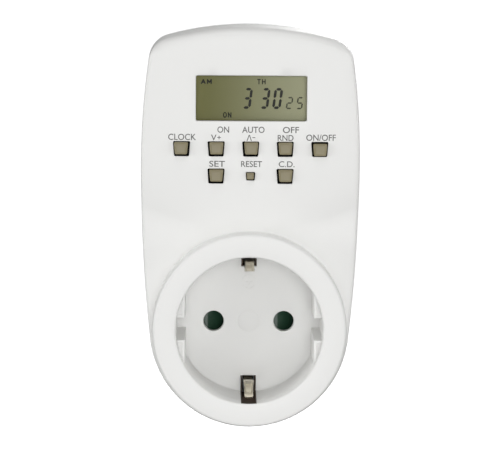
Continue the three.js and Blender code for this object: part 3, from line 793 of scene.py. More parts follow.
def add_socket_ring(soup, ring):
    """The ring round the socket, its bore for the insert, and the collar. Gives the collar's outline."""
    profile = [(RING_BASE_R - 0.07, LOW_FRONT - 0.06), (RING_BASE_R - 0.16, LOW_FRONT - 0.2),
               (RING_R, RIM + 0.8)]
    profile += fillet(RING_R, RIM + 0.8, RING_R - 0.8, RIM, 6)
    profile += [(RECESS_R + 3, RIM), (RECESS_R + 0.6, RIM)]
    profile += fillet(RECESS_R + 0.6, RIM, RECESS_R, RIM + 0.6, 5, convex=False)
    bore, seat = INSERT_R + 0.15, INSERT_TOP - 0.15
    profile += [(RECESS_R, seat), (bore, seat), (bore, LOW_FRONT), (COLLAR_R, LOW_FRONT)]
    # nothing of the ring is deeper than its foot, which is a little raised under the crease
    foot = on_front(ring)
    loops = [foot]
    for radius, y in profile:
        loops.append([(x, min(y, base[1]), z) for (x, z), base in zip(ring_circle(radius), foot)])
    collar = ring_circle(COLLAR_R)
    loops.append(at_depth(collar, behind_front))
    soup.loft(loops)
    return collar


def add_cover_inside(soup, collar, holes):
    """The inner faces of the cover's front and walls."""
    front_edge = inset_outline(EDGE_TOP + DRAFT)
    wall = inset_outline(WALL)
    back = PARTING - SEAM
    add_sheet(soup, front_edge, [collar, *holes], behind_front, 4.0)
    corner = [(x, behind_front(*edge) + 0.8, z) for (x, z), edge in zip(wall, front_edge)]
    soup.loft([at_depth(front_edge, behind_front), corner, at_depth(wall, back),
               at_depth(inset_outline(LIP), back)])


def add_boss(soup, node):
    """The boss that takes a casing screw."""
    x, z = middle_of(node)[2].xz
    radius, bore, bore_end = 3.2, 1.45, -46
    foot = front_depth(x, z) + 1.2
    profile = [(AXIS, bore_end), (bore, bore_end), (bore, -33.3), (radius - 0.1, -33.3), (radius, -33.5),
               (radius, foot), (AXIS, foot)]
    soup.loft(lathe(profile, x, z, 32))


def build_cover():
    soup = Soup()
    front = add_cover_edge(soup)
    ring = ring_circle(RING_BASE_R)
    # corners, corner radius and edge's round of the window and of each key's opening
    openings = [(rectangle(*WINDOW), 0.45, 0.28)] + [(key_corners(node), 0.3, 0.12) for node in KEY_NODES]
    holes = [rounded(*opening) for opening in openings]
    add_sheet(soup, front, [ring, *holes], front_depth, 2.4, crease_lines(front, ring), roll_points())
    inner_holes = [add_opening(soup, *opening) for opening in openings]
    collar = add_socket_ring(soup, ring)
    add_cover_inside(soup, collar, inner_holes)
    for node in SCREWS:
        add_boss(soup, node)
    cover = make("cover_shell", soup, WHITE, replaces=["front_cover"], sharp=28)
    slots = [(-SLOT_HALF, SLOT_HALF, RIM + 0.45, INSERT_TOP + 2, *mirrored(side, SLOT_INNER, SLOT_OUTER))
             for side in (1, -1)]
    combine(cover, blocks(*slots), sharp=28)


# ---------------------------------------------------------------------------
# Socket
# ---------------------------------------------------------------------------


def build_insert():
    """The socket's cup: its wall, its floor with the pin holes, and the guides for the shutter."""
    soup = Soup()
    around = 144
    floor_edge = RECESS_R - 0.5
    inner_r = INSERT_R - INSERT_WALL
    cup = [(floor_edge, FLOOR)]
    cup += fillet(floor_edge, FLOOR, RECESS_R - 0.03, FLOOR - 0.5, 4, convex=False)
    cup += [(RECESS_R, -50), (RECESS_R, INSERT_TOP + 0.2), (RECESS_R + 0.2, INSERT_TOP),
            (INSERT_R - 0.2, INSERT_TOP), (INSERT_R, INSERT_TOP + 0.2), (INSERT_R, INSERT_BACK),
            (inner_r, INSERT_BACK), (inner_r, FLOOR_BACK)]
    soup.loft(lathe(cup, count=around))
    holes = [circle(HOLE_R + HOLE_EDGE, x) for x in PIN_PLACES]
    back_holes = [circle(HOLE_R, x) for x in PIN_PLACES]
    # a low disc in the middle of the floor, with a rounded edge
    disc, disc_edge, disc_top = (circle(radius, count=64) for radius in (2.9, 2.87, 2.8))
    add_sheet(soup, circle(floor_edge, count=around), [*holes, disc], FLOOR, 3)
    top = at_depth(disc_top, FLOOR - 0.12)
    soup.loft([at_depth(disc, FLOOR), at_depth(disc_edge, FLOOR - 0.1), top])
    soup.cap(top)
    add_sheet(soup, circle(inner_r, count=around), back_holes, FLOOR_BACK, 4)
    for x, back_hole in zip(PIN_PLACES, back_holes):
        edge = [(HOLE_R + HOLE_EDGE, FLOOR)]
        edge += fillet(HOLE_R + HOLE_EDGE, FLOOR, HOLE_R, FLOOR + HOLE_EDGE, 4, convex=False)
        soup.loft(lathe(edge, x) + [at_depth(back_hole, FLOOR_BACK)])
    # ribs and the peg that guide the shutter and its spring
    root = FLOOR_BACK - 0.3
    for z in (RIB_Z, -RIB_Z):
        soup.slab(rounded(rectangle(-13, 13, z - 0.5, z + 0.5), 0.2, 0, 3), root, RIB_END)
    soup.solid(lathe([(1.1, root), (1.1, RIB_END - 0.2), (0.9, RIB_END)], -3, 0, 24))
    insert = make("outlet_cup", soup, WHITE, replaces=["socket_insert"], sharp=30)
    slots = [(-SLOT_HALF, SLOT_HALF, INSERT_TOP - 1, INSERT_BACK + 1, *mirrored(side, SLOT_INNER, 22))
             for side in (1, -1)]
    combine(insert, blocks(*slots), sharp=30)


def guide_outline(side, upper, inset, depth):
    """One guide's outline: a wall along a chord, a wall beside the middle gap, and the recess's wall.

    The two lower guides spread towards the floor, as they are drafted for moulding.
    """
    share = (depth - GUIDE_FRONT) / (FLOOR - GUIDE_FRONT)
    end = 3.0 + inset - (1.3 * share if upper < 0 else 0.15 * share)
    chord = GUIDE_CHORD + inset - 0.15 * share
    radius = RECESS_R - 0.01 - (0.25 if inset > 0.5 else 0)
    start = math.asin(end / radius)
    stop = math.acos(chord / radius)
    steps = 12
    turns = [start + (stop - start) * i / steps for i in range(steps + 1)]
    loop = [(chord, end), *[(radius * math.cos(t), radius * math.sin(t)) for t in turns]]
    loop = [(side * x, depth, upper * z) for x, z in loop]
    return loop if side * upper > 0 else loop[::-1]


def build_earth_symbol():
    """The faint raised earth sign on the recess's floor: a ring round a stem and three bars."""
    soup = Soup()
    middle = 10.7
    outer, inner = circle(1.95, 0, middle), circle(1.68, 0, middle)
    low, high = FLOOR + 0.05, FLOOR - 0.22
    root = at_depth(inner, low)
    soup.loft([root, at_depth(outer, low), at_depth(outer, high), at_depth(inner, high), root])
    bars = [(0.12, 0.1, 1.1), (1.0, -0.1, 0.22), (0.66, -0.55, 0.22), (0.32, -1.0, 0.22)]
    for half, z, height in bars:
        soup.slab(rectangle(-half, half, middle + z, middle + z + height), high, low)
    make("earth_sign_relief", soup, WHITE)


def build_guides():
    """The four blocks in the recess that guide a plug, each with a pocket in its front."""
    soup = Soup()
    lip = 0.15
    sections = [(0, FLOOR + 0.1)]
    for sin, cos in quarter_turn(4):
        sections.append((GUIDE_EDGE * (1 - cos), GUIDE_FRONT + GUIDE_EDGE * (1 - sin)))
    sections += [(GUIDE_WALL - lip, GUIDE_FRONT), (GUIDE_WALL, GUIDE_FRONT + lip), (GUIDE_WALL, GUIDE_POCKET)]
    for side in (1, -1):
        for upper in (1, -1):
            soup.solid([guide_outline(side, upper, inset, depth) for inset, depth in sections])
    make("outlet_guides", soup, WHITE, sharp=50)


# ---------------------------------------------------------------------------
# Contacts, shutter and pins
# ---------------------------------------------------------------------------


def build_earth_clip():
    """One bracket whose two ends spring into the recess; each end has a pressed bead."""
    leg = smooth_path([(-57.05, 18.35), (-55.3, 17.0), (-53.4, 15.75), (-51.6, 15.1), (-49.6, 15.15),
                       (-45, 16.0), (-39, 16.35), (-35.2, 16.45), (-33.9, 16.05), (-33.5, 14.6), (-33.5, 8),
                       (-33.5, 0)], 7)

    def half_width(to_end):
        if to_end < 0.9:
            return 0.45 + 0.7 * math.sqrt(max(1 - (1 - to_end / 0.9) ** 2, 0))
        bulge = max(1 - abs(to_end - 5.9) / 1.6, 0)
        return 1.15 + 0.12 * between_0_and_1((to_end - 3.5) / 3) + 0.1 * bulge

    def dent(to_end, share):
        """A long shallow bead that ends in a deeper step, 6.3 mm from the strip's end."""
        bead_start, step_start, bead_end = 0.9 + 0.6 * (1 - abs(share)), 4.7, 6.3
        side = between_0_and_1((0.76 - abs(share)) / 0.16)
        groove = between_0_and_1((to_end - bead_start) / 0.5) * between_0_and_1((bead_end - to_end) / 0.35)
        deep = between_0_and_1((to_end - step_start) / 0.3) * between_0_and_1((bead_end - to_end) / 0.3)
        slope = 0.12 + 0.2 * between_0_and_1((step_start - to_end) / 3.2)
        return side * (slope * groove + 0.65 * deep)

    soup = Soup()
    add_strip(soup, both_halves(leg), 0.5, half_width, dent, 20)
    make("earth_spring_clip", soup, NICKEL, replaces=["socket_earth_clip"], sharp=50)


def build_contacts():
    """A pair of brass leaves behind each pin hole."""
    leaf = smooth_path([(-33.5, 3.75), (-32.6, 2.95), (-31.2, 2.5), (-29.4, 2.75), (-26.6, 3.75), (-25, 4.1),
                        (-23.8, 4.05), (-23.3, 3.6), (-23.25, 2), (-23.25, 0)], 6)

    def half_width(to_end):
        return 2.9 - 0.5 * max(1 - to_end / 0.7, 0) ** 2

    for name, x in (("live_contact", -PIN_X), ("neutral_contact", PIN_X)):
        soup = Soup()
        add_strip(soup, both_halves(leaf), 0.6, half_width, None, 6, x)
        make(name + "_leaves", soup, BRASS, replaces=[name], sharp=50)


def build_shutter():
    """A slide with a ramped pad behind each pin hole; the ridge of each ramp is softly rounded."""
    low, high = box("shutter")
    front, back = low.y + 0.02, high.y - 0.02
    section = [(-3.38, back), (-3.38, front + 0.35), (-3.25, front + 0.08), (-3.0, front), (-1.75, front),
               (-1.5, front + 0.03), (-1.3, front + 0.13), (3.1, -37.62), (3.28, -37.4), (3.28, back)]
    soup = Soup()
    half = high.z - 0.02
    for side in (-1, 1):
        middle = side * PIN_X
        loops = []
        for inset, z in ((0.15, -half), (0, -half + 0.15), (0, half - 0.15), (0.15, half)):
            shrink = 1 - inset / 3.4
            loops.append([(middle + x * shrink, y + inset if y < -38 else y, z) for x, y in section])
        soup.solid(loops)
        # one of the two rails that join the pads
        rail_z = side * (half - 0.5)
        soup.slab(rounded(rectangle(-PIN_X, PIN_X, rail_z - 0.5, rail_z + 0.5), 0.15, 0, 3), -38.38, back)
    make("shutter_slide_plate", soup, GREEN, body="shutter_body", replaces=["shutter"],
         sharp=30)


def build_shutter_spring():
    low, high = box("shutter_spring")
    turns = 7
    steps = turns * 20
    left, right = low.x + 0.25, high.x - 0.25
    coil = []
    for i in range(steps + 1):
        t = 2 * math.pi * turns * i / steps
        coil.append((left + (right - left) * i / steps, -38.4 + 1.05 * math.cos(t), 1.05 * math.sin(t)))
    soup = Soup()
    soup.tube(coil, 0.14, 8)
    make("shutter_return_spring", soup, STEEL, replaces=["shutter_spring"])


def build_carrier():
    """The block that holds the contacts, with a channel behind each slot, in which the earth clip moves."""
    soup = cad_soup("contact_carrier", 0.15)
    half, outer, inner, wall = SLOT_HALF - 0.06, 21.05, 15.05, 0.3
    channel = [(-half, outer), (-half, inner), (-half + wall, inner), (-half + wall, outer - wall),
               (half - wall, outer - wall), (half - wall, inner), (half, inner), (half, outer)]
    front, step = -59.2, -42.6
    for side in (1, -1):
        soup.slab([(x, side * z) for x, z in channel], -42.45, -36.2)
        soup.slab(rectangle(-half, half, *mirrored(side, 20.55, outer)), front, step)
        for edge in (-1, 1):
            cheek = rectangle(*mirrored(edge, half - wall, half), *mirrored(side, 19.62, 20.5))
            soup.slab(cheek, front, step)
    make("contact_block", soup, BROWN, replaces=["contact_carrier"])


def build_pins():
    for node in ("live_pin", "neutral_pin"):
        _, high, mid = middle_of(node)
        round_start = high.y - PIN_ROUND
        profile = [(AXIS, -15), (1.45, -15), (1.6, -14.85), (1.6, -9), (3.15, -9), (3.3, -8.85), (3.3, -4.15),
                   (3.15, -4), (PIN_R, -4), (PIN_R, round_start)]
        for sin, cos in quarter_turn(10, 1):
            profile.append((PIN_R - PIN_ROUND * (1 - cos), round_start + PIN_ROUND * sin))
        profile.append((AXIS, high.y))
        soup = Soup()
        soup.solid(lathe(profile, mid.x))
        make(node + "_turned", soup, NICKEL, replaces=[node], sharp=40)


def build_earth_strap():
    """The earth strap, which shows in the slots above and below the plug's middle, and its rivet."""
    leg = smooth_path([(-3.25, 16.75), (-12, 16.8), (-19.5, 16.8), (-21.0, 16.4), (-21.6, 15.0), (-21.6, 7),
                       (-21.6, 0)], 8)

    def half_width(to_end):
        return 2.3 - 0.5 * max(1 - to_end / 0.6, 0) ** 2

    soup = Soup()
    add_strip(soup, both_halves(leg), 0.7, half_width, None, 8)
    make("earth_strap_bent", soup, NICKEL, replaces=["plug_earth_strap"], sharp=50)
    low, high = box("earth_rivet")
    profile = both_ends([(AXIS, 0), (0.9, 0.05), (1.35, 0.4), (1.35, 0.6), (1.0, 0.6)], low.y, high.y)
    soup = Soup()
    soup.solid(lathe(profile, count=32))
    make("earth_rivet_headed", soup, BRASS, replaces=["earth_rivet"])


def build_screws():
    """The casing's four screws, each with a thread and a cross recess."""
    recess, recess_reach = 0.36, 1.4
    for node in SCREWS:
        low, high, mid = middle_of(node)
        seat = high.y - SCREW_HEAD
        profile = [(AXIS, low.y), (0.5, low.y + 0.5)]
        y = low.y + 0.9
        while y < seat - 0.8:
            profile += [(0.85, y), (1.18, y + 0.22), (1.18, y + 0.3), (0.85, y + 0.52)]
            y += 0.75
        profile += [(1.1, seat - 0.5), (1.1, seat), (2.6, seat), (2.7, seat + 0.12), (2.68, seat + 0.5),
                    (2.5, seat + 1.15), (2.1, seat + 1.6), (1.4, seat + 1.85), (AXIS, high.y)]
        soup = Soup()
        soup.solid(lathe(profile, mid.x, mid.z, 40))
        screw = make(node + "_turned", soup, STEEL, replaces=[node], sharp=35)
        for dx, dz in ((recess_reach, recess), (recess, recess_reach)):
            bar = (mid.x - dx, mid.x + dx, seat + 0.9, high.y + 1, mid.z - dz, mid.z + dz)
            combine(screw, blocks(bar))


# ---------------------------------------------------------------------------
# Rear shell
# ---------------------------------------------------------------------------


def plug_outline(inset=0.0):
    """The plug's outline: a circle with flats at its sides and a groove in each flat."""
    turn = math.acos(PLUG_FLAT / PLUG_R)
    steps = 36
    turns = [turn + (math.pi - 2 * turn) * i / steps for i in range(steps + 1)]
    upper = [(PLUG_R * math.cos(t), PLUG_R * math.sin(t)) for t in turns]
    left = [(-PLUG_FLAT, GROOVE_HALF), (-PLUG_GROOVE, GROOVE_HALF - 0.15),
            (-PLUG_GROOVE, -GROOVE_HALF + 0.15), (-PLUG_FLAT, -GROOVE_HALF)]
    half = upper + left
    return inset_any(half + [(-x, -z) for x, z in half], inset)


def inset_any(loop, inset):
    """A counter-clockwise polygon of any shape moved inwards, point for point."""
    moved = []
    for i, point in enumerate(loop):
        here = Vector(point)
        before = (here - Vector(loop[i - 1])).normalized()
        after = (Vector(loop[(i + 1) % len(loop)]) - here).normalized()
        n0 = Vector((before.y, -before.x))
        n1 = Vector((after.y, -after.x))
        moved.append(tuple(here - (n0 + n1) * inset / max(1 + n0.dot(n1), 0.5)))
    return moved


def add_rear_outside(soup, front):
    """The rear shell's walls and back, and the plug's body out to its face."""
    loops = [at_depth(inset_outline(LIP), front), at_depth(inset_outline(0.0), front + LIP)]
    for sin, cos in quarter_turn(8):
        inset = REAR_DRAFT + REAR_EDGE * (1 - cos)
        loops.append(at_depth(inset_outline(inset), BACK - REAR_EDGE * (1 - sin)))
    soup.loft(loops)
    foot = plug_outline()
    add_sheet(soup, inset_outline(REAR_DRAFT + REAR_EDGE), [foot], BACK, 5)
    side = [at_depth(foot, BACK)]
    for sin, cos in quarter_turn(5):
        side.append(at_depth(plug_outline(PLUG_EDGE * (1 - cos)), PLUG_EDGE * (sin - 1)))
    soup.loft(side)
    add_sheet(soup, plug_outline(PLUG_EDGE), [circle(2.8, x, count=40) for x in PIN_PLACES], 0.0, 4)


def add_rear_inside(soup, front):
    """The pin holes in the plug's face, the plug's hollow, and the shell's inner faces."""
    holes = [circle(2.5, x, count=40) for x in PIN_PLACES]
    for x, hole in zip(PIN_PLACES, holes):
        soup.loft(lathe([(2.8, 0), (2.6, -0.09), (2.5, -0.3)], x, 0, 40) + [at_depth(hole, -PLUG_WALL)])
    hollow = circle(PLUG_HOLLOW_R, count=72)
    wall = inset_outline(WALL)
    floor = BACK - WALL
    add_sheet(soup, hollow, holes, -PLUG_WALL, 5)
    soup.loft([at_depth(hollow, -PLUG_WALL), at_depth(hollow, floor)])
    add_sheet(soup, wall, [hollow], floor, 5)
    soup.loft([at_depth(wall, floor), at_depth(wall, front), at_depth(inset_outline(LIP), front)])


def build_rear():
    soup = Soup()
    front = PARTING + SEAM
    add_rear_outside(soup, front)
    add_rear_inside(soup, front)
    rear = make("rear_tray", soup, WHITE, replaces=["rear_shell"], sharp=30)

    wells = Soup()
    bores = Soup()
    bore = [(3.9, BACK + 0.3), (3.1, BACK - 0.45), (3.1, -31), (1.7, -31), (1.7, -34)]
    for node in SCREWS:
        x, z = middle_of(node)[2].xz
        wells.solid(lathe([(4, BACK - 1), (4, -33)], x, z, 40))
        bores.solid(lathe(bore, x, z, 40))
    combine(rear, wells, "UNION", 30)
    combine(rear, bores, "DIFFERENCE", 30)
    slots = [(-3, 3, BACK - 3, -PLUG_WALL, *mirrored(side, 15, 19.5)) for side in (1, -1)]
    combine(rear, blocks(*slots), "DIFFERENCE", 30)

    sleeves = Soup()
    foot = -PLUG_WALL + 0.01
    for x in PIN_PLACES:
        sleeves.loft(lathe([(3.6, -12), (5, -12), (5, foot), (3.6, foot), (3.6, -12)], x, 0, 40))
    make("pin_sleeves", sleeves, WHITE)


# ---------------------------------------------------------------------------
# Keys and legends
# ---------------------------------------------------------------------------

# how far each cap sits from the middle of its opening
KEY_SHIFT = {
    "key_clock": (-0.14, 0.15),
    "key_down": (0.07, 0.19),
    "key_up": (0.13, 0.20),
    "key_random": (0.05, 0.19),
    "key_on_off": (0.10, -0.12),
    "key_set": (0.07, 0.18),
    "key_reset": (-0.06, 0.07),
    "key_countdown": (0.13, 0.18),
}


def build_key_gap_shade():
    """A thin near-black sleeve inside each key's opening, as painted shade in the gap round each cap."""
    soup = Soup()
    length = PANEL_WALL - 0.2
    for node in KEY_NODES:
        corners = key_corners(node)
        outer, inner = rounded(corners, 0.3, -0.01), rounded(corners, 0.3, -0.09)
        soup.loft([on_front(outer, 0.12), on_front(outer, 0.12 + length), on_front(inner, 0.16 + length),
                   on_front(inner, 0.16), on_front(outer, 0.12)])
    make("key_gap_painted_shade", soup, GAP_SHADE_BLACK)


def build_key(node):
    """A key's cap, and behind it the flange and stem that move with it, coloured near-black as painted shade
    behind the gap round the cap.
    """
    mid = middle_of(node)[2]
    small = node == "key_reset"
    margin, corner, edge = (-0.24, 0.25, 0.16) if small else (-0.37, 0.38, 0.24)
    front = UPPER_KEY_FRONT if mid.z > KEY_ROWS_MEET else LOWER_KEY_FRONT
    cap = key_corners(node, margin, KEY_SHIFT[node])
    # the cap's middle is sunk a little inside its rounded edge
    sections = [(corner + 0.3, -edge - 0.3, CAP_SINK), (corner + 0.2, -edge - 0.12, 0.6 * CAP_SINK)]
    sections += [(corner, -edge * (1 - sin), edge * (1 - cos)) for sin, cos in quarter_turn(6)]
    loops = [at_depth(rounded(cap, radius, grow), front + sunk) for radius, grow, sunk in sections]
    soup = Soup()
    soup.solid([*loops, at_depth(rounded(cap, corner), FLANGE_FRONT + 0.05)])
    make(node + "_cap", soup, TAUPE, body=node + "_body", replaces=[node], sharp=40)

    # the flange and stem take the near-black material: painted shade seen through the gap round the cap
    flange, flange_face = (rounded(key_corners(node, 0.5), corner, grow) for grow in (0, -0.08))
    dx, dz = (1.5 * RESET_SCALE, 1.3 * RESET_SCALE) if small else (1.5, 1.3)
    corners = rectangle(mid.x - dx, mid.x + dx, mid.z - dz, mid.z + dz)
    stem, stem_end = rounded(corners, 0.3), rounded(corners, 0.3, -0.15)
    soup = Soup()
    soup.solid([at_depth(flange_face, FLANGE_FRONT), at_depth(flange, FLANGE_FRONT + 0.08),
                at_depth(flange, FLANGE_BACK), at_depth(stem, FLANGE_BACK), at_depth(stem, STEM_BACK - 0.15),
                at_depth(stem_end, STEM_BACK)])
    make(node + "_flange", soup, GAP_SHADE_BLACK, body=node + "_body", sharp=40)


# each word's middle, width, lowest and highest point
PANEL_WORDS = [
    ("ON", -7.26, 3.08, 52.18, 53.84),
    ("AUTO", 0.66, 5.90, 52.18, 53.84),
    ("OFF", 10.55, 4.25, 52.18, 53.84),
    ("CLOCK", -18.07, 7.32, 50.18, 51.84),
    ("V", -9.75, 1.45, 50.13, 51.68),
    ("+", -8.35, 0.95, 50.45, 51.4),
    ("Λ", -0.40, 1.35, 50.13, 51.68),
    ("-", 0.8, 0.75, 50.86, 51.06),
    ("RND", 9.17, 4.17, 50.13, 51.68),
    ("ON/OFF", 18.50, 7.80, 50.18, 51.85),
    ("SET", -8.82, 4.13, 43.16, 44.75),
    ("RESET", 0.26, 5.52, 43.16, 44.75),
    ("C.D.", 9.51, 4.18, 43.16, 44.75),
]


def add_word(soup, text, x, width, low, high, front, back, weight=0.0):
    """A word as a thin print between two depths, each a function of X and Z."""
    curve = bpy.data.curves.new("word", "FONT")
    curve.body = text
    curve.extrude = 1
    curve.offset = weight
    curve.resolution_u = 4
    thing = add_object("word", curve)
    graph = bpy.context.evaluated_depsgraph_get()
    mesh = bpy.data.meshes.new_from_object(thing.evaluated_get(graph))
    across = [v.co.x for v in mesh.vertices]
    along = [v.co.y for v in mesh.vertices]
    points = []
    for vertex in mesh.vertices:
        px = x + width * ((vertex.co.x - min(across)) / (max(across) - min(across)) - 0.5)
        pz = low + (high - low) * (vertex.co.y - min(along)) / (max(along) - min(along))
        depth = front if vertex.co.z > 0 else back
        points.append((px, depth(px, pz), pz))
    soup.add(points, [list(face.vertices) for face in mesh.polygons])
    bpy.data.objects.remove(thing)
    bpy.data.meshes.remove(mesh)


def build_legends():
    """The words printed on the panel."""
    def face(x, z):
        return front_depth(x, z) - PRINT_RISE

    def root(x, z):
        return front_depth(x, z) + 0.06

    soup = Soup()
    for word in PANEL_WORDS:
        add_word(soup, *word, face, root, 0.008)
    make("panel_print", soup, INK, sharp=60, weld=0.0002)


# ---------------------------------------------------------------------------
# Display
# ---------------------------------------------------------------------------

# each word's middle, width, lowest and highest point, and the width of its strokes
DISPLAY_WORDS = [
    ("AM", -11.78, 2.89, 64.80, 66.12, 0.34),
    ("TH", 2.73, 2.24, 64.77, 66.20, 0.27),
    ("ON", -6.2, 2.20, 55.97, 57.40, 0.27),
]
# strokes of the display's letters, as lines in a square of side 1
LETTERS = {
    "A": [[(0, 0), (0.5, 1), (1, 0)], [(0.2, 0.32), (0.8, 0.32)]],
    "H": [[(0, 0), (0, 1)], [(1, 0), (1, 1)], [(0, 0.5), (1, 0.5)]],
    "M": [[(0, 0), (0, 1), (0.5, 0.3), (1, 1), (1, 0)]],
    "N": [[(0, 0), (0, 1), (1, 0), (1, 1)]],
    "O": [[(0, 0.25), (0.25, 0), (0.75, 0), (1, 0.25), (1, 0.75), (0.75, 1), (0.25, 1), (0, 0.75),
           (0, 0.25)]],
    "T": [[(0, 1), (1, 1)], [(0.5, 1), (0.5, 0)]],
}
DIGITS = {"0": "abcdef", "2": "abged", "3": "abgcd", "5": "afgcd"}
SLANT = 0.13


def add_digit(soup, digit, x, z, width, height, stroke, front, back):
    """A slanted seven-segment digit whose lower left corner is at X and Z."""
    gap = 0.12 * stroke
    reach = stroke / 2
    middle = height / 2

    def across(v):
        return [(reach + gap, v), (stroke + gap, v - reach), (width - stroke - gap, v - reach),
                (width - reach - gap, v), (width - stroke - gap, v + reach), (stroke + gap, v + reach)]

    def upright(u, low, high):
        return [(u, low + gap), (u + reach, low + reach + gap), (u + reach, high - reach - gap),
                (u, high - gap), (u - reach, high - reach - gap), (u - reach, low + reach + gap)]

    shapes = {
        "a": across(height - reach),
        "g": across(middle),
        "d": across(reach),
        "b": upright(width - reach, middle, height - reach),
        "c": upright(width - reach, reach, middle),
        "f": upright(reach, middle, height - reach),
        "e": upright(reach, reach, middle),
    }
    for name in DIGITS[digit]:
        soup.slab([(x + u + SLANT * v, z + v) for u, v in shapes[name]], front, back)


def add_bar(soup, start, end, width, front, back):
    """A straight stroke between two points of the front view."""
    along = Vector(end) - Vector(start)
    along.normalize()
    reach, side = along * width * 0.35, Vector((-along.y, along.x)) * width / 2
    first, last = Vector(start) - reach, Vector(end) + reach
    soup.slab([tuple(p) for p in (first - side, last - side, last + side, first + side)], front, back)


def add_block_word(soup, text, x, width, low, high, stroke, front, back):
    """A word of the display, drawn with straight strokes."""
    gap = 0.3
    letter = (width - gap * (len(text) - 1)) / len(text)
    rise = high - low - stroke
    for i, name in enumerate(text):
        left = x - width / 2 + i * (letter + gap) + stroke / 2
        for line in LETTERS[name]:
            points = [(left + u * (letter - stroke), low + stroke / 2 + v * rise) for u, v in line]
            for start, end in zip(points, points[1:]):
                add_bar(soup, start, end, stroke, front, back)


def build_display():
    """The two glass plates, the segments, the window's pane, the frame and the rubber connector."""
    front, back = LCD_LOW.y, LCD_HIGH.y
    middle = (front + back) / 2
    corners = rectangle(LCD_LOW.x, LCD_HIGH.x, LCD_LOW.z, LCD_HIGH.z)
    plate = rounded(corners, 0.3, 0, 3)
    # the rear plate leaves the contacts along the front plate's lower edge free
    rear = rounded(rectangle(LCD_LOW.x, LCD_HIGH.x, LCD_LOW.z + 1.6, LCD_HIGH.z), 0.3, 0, 3)
    soup = Soup()
    soup.solid([at_depth(rounded(corners, 0.3, -0.1, 3), front), at_depth(plate, front + 0.1),
                at_depth(plate, middle), at_depth(rear, middle), at_depth(rear, back)])
    make("lcd_plates", soup, LCD_FILM, replaces=["lcd_glass"])

    dark, faint = Soup(), Soup()
    sunk, raised = front + 0.04, front - 0.02
    for digit, x in (("3", -2.42), ("3", 2.23), ("0", 5.55)):
        add_digit(dark, digit, x, 58.32, 2.3, 5.55, 0.7, raised, sunk)
    for word in DISPLAY_WORDS:
        add_block_word(dark, *word, raised, sunk)
    make("lcd_segments_dark", dark, SEGMENT, sharp=60, weld=0.0002)
    for digit, x in (("2", 9.18), ("5", 11.9)):
        add_digit(faint, digit, x, 58.3, 1.65, 3.25, 0.4, raised, sunk)
    make("lcd_segments_faint", faint, FAINT_SEGMENT, sharp=60, weld=0.0002)

    soup = Soup()
    pane = rectangle(PANE_LOW.x, PANE_HIGH.x, PANE_LOW.z, PANE_HIGH.z)
    soup.soft_slab(pane, 0.4, 0.12, PANE_LOW.y, PANE_HIGH.y)
    make("window_pane", soup, PANE, replaces=["display_window"])
    make("lcd_holder", cad_soup("lcd_frame", 0.15), BLACK, replaces=["lcd_frame"])
    make("lcd_rubber_strip", cad_soup("lcd_conductor", 0.2), RUBBER, replaces=["lcd_conductor"])


# ---------------------------------------------------------------------------
# Boards and what stands on them
# ---------------------------------------------------------------------------


def add_legs(soup, top, places, radius=0.3):
    """Wire legs from a part's base through the power board, each with a small mound of solder."""
    for x, z in places:
        soup.solid(lathe([(radius, top), (radius, BOARD_BACK), (3 * radius, BOARD_BACK + 0.05),
                          (1.6 * radius, BOARD_BACK + 0.45), (radius, BOARD_BACK + 0.7)], x, z, 12))


def across_lathe(profile, y, z, count=40):
    """Loops for [radius, x] points about an axis along X."""
    return [[(x, y + u, z + v) for u, v in circle(radius, count=count)] for radius, x in profile]


def add_chip_leg(soup, mid, seat, side, along, upright):
    """One bent leg of the controller; an upright one leaves through its upper or lower side."""
    half, thick = 0.18, 0.06
    sections = []
    for reach, y in ((3.4, mid.y), (3.7, mid.y), (3.9, seat), (4.2, seat)):
        section = []
        for across, depth in ((-half, -thick), (half, -thick), (half, thick), (-half, thick)):
            x, z = (along + across, side * reach) if upright else (side * reach, along + across)
            section.append((mid.x + x, y + depth, mid.z + z))
        sections.append(section)
    soup.solid(sections)


def build_controller():
    """The controller's package, with eight legs on each side."""
    low, high, mid = middle_of("controller_chip")
    outlines = [rectangle(low.x + d, high.x - d, low.z + d, high.z - d) for d in (1, 0.85)]
    body, wide = (rounded(corners, 0.1, 0, 2) for corners in outlines)
    soup = Soup()
    soup.solid([at_depth(body, low.y + 0.1), at_depth(wide, mid.y), at_depth(body, high.y)])
    make("controller_package", soup, BLACK, replaces=["controller_chip"])
    legs = Soup()
    for i in range(8):
        for side in (-1, 1):
            for upright in (False, True):
                add_chip_leg(legs, mid, low.y + 0.12, side, -3.15 + 0.9 * i, upright)
    make("controller_legs", legs, STEEL)


def build_crystal():
    low, high, mid = middle_of("watch_crystal")
    profile = [(0.4, low.x), (0.9, low.x + 0.1), (1, low.x + 0.3), (1, high.x - 1.3), (0.85, high.x - 1.2),
               (0.85, high.x - 1)]
    soup = Soup()
    soup.solid(across_lathe(profile, mid.y, mid.z, 28))
    for z in (mid.z - 0.35, mid.z + 0.35):
        soup.tube([(high.x - 1.1, mid.y, z), (high.x, mid.y, z)], 0.13, 8)
    make("crystal_can", soup, STEEL, replaces=["watch_crystal"])


# CAD node, rounding of its edges, piece, material and slot
PLAIN_BOARD_PARTS = [
    ("display_board", 0.1, "display_circuit_board", BOARD, "board"),
    ("main_board", 0.1, "power_circuit_board", BOARD, "board"),
    ("keypad_mat", 0.15, "silicone_sheet", RUBBER, "rubber"),
    ("board_header", 0.1, "pin_header", BLACK, "black_plastic"),
]


def build_boards():
    for node, width, name, material, slot in PLAIN_BOARD_PARTS:
        make(name, cad_soup(node, width), material, replaces=[node])
    build_controller()
    build_crystal()


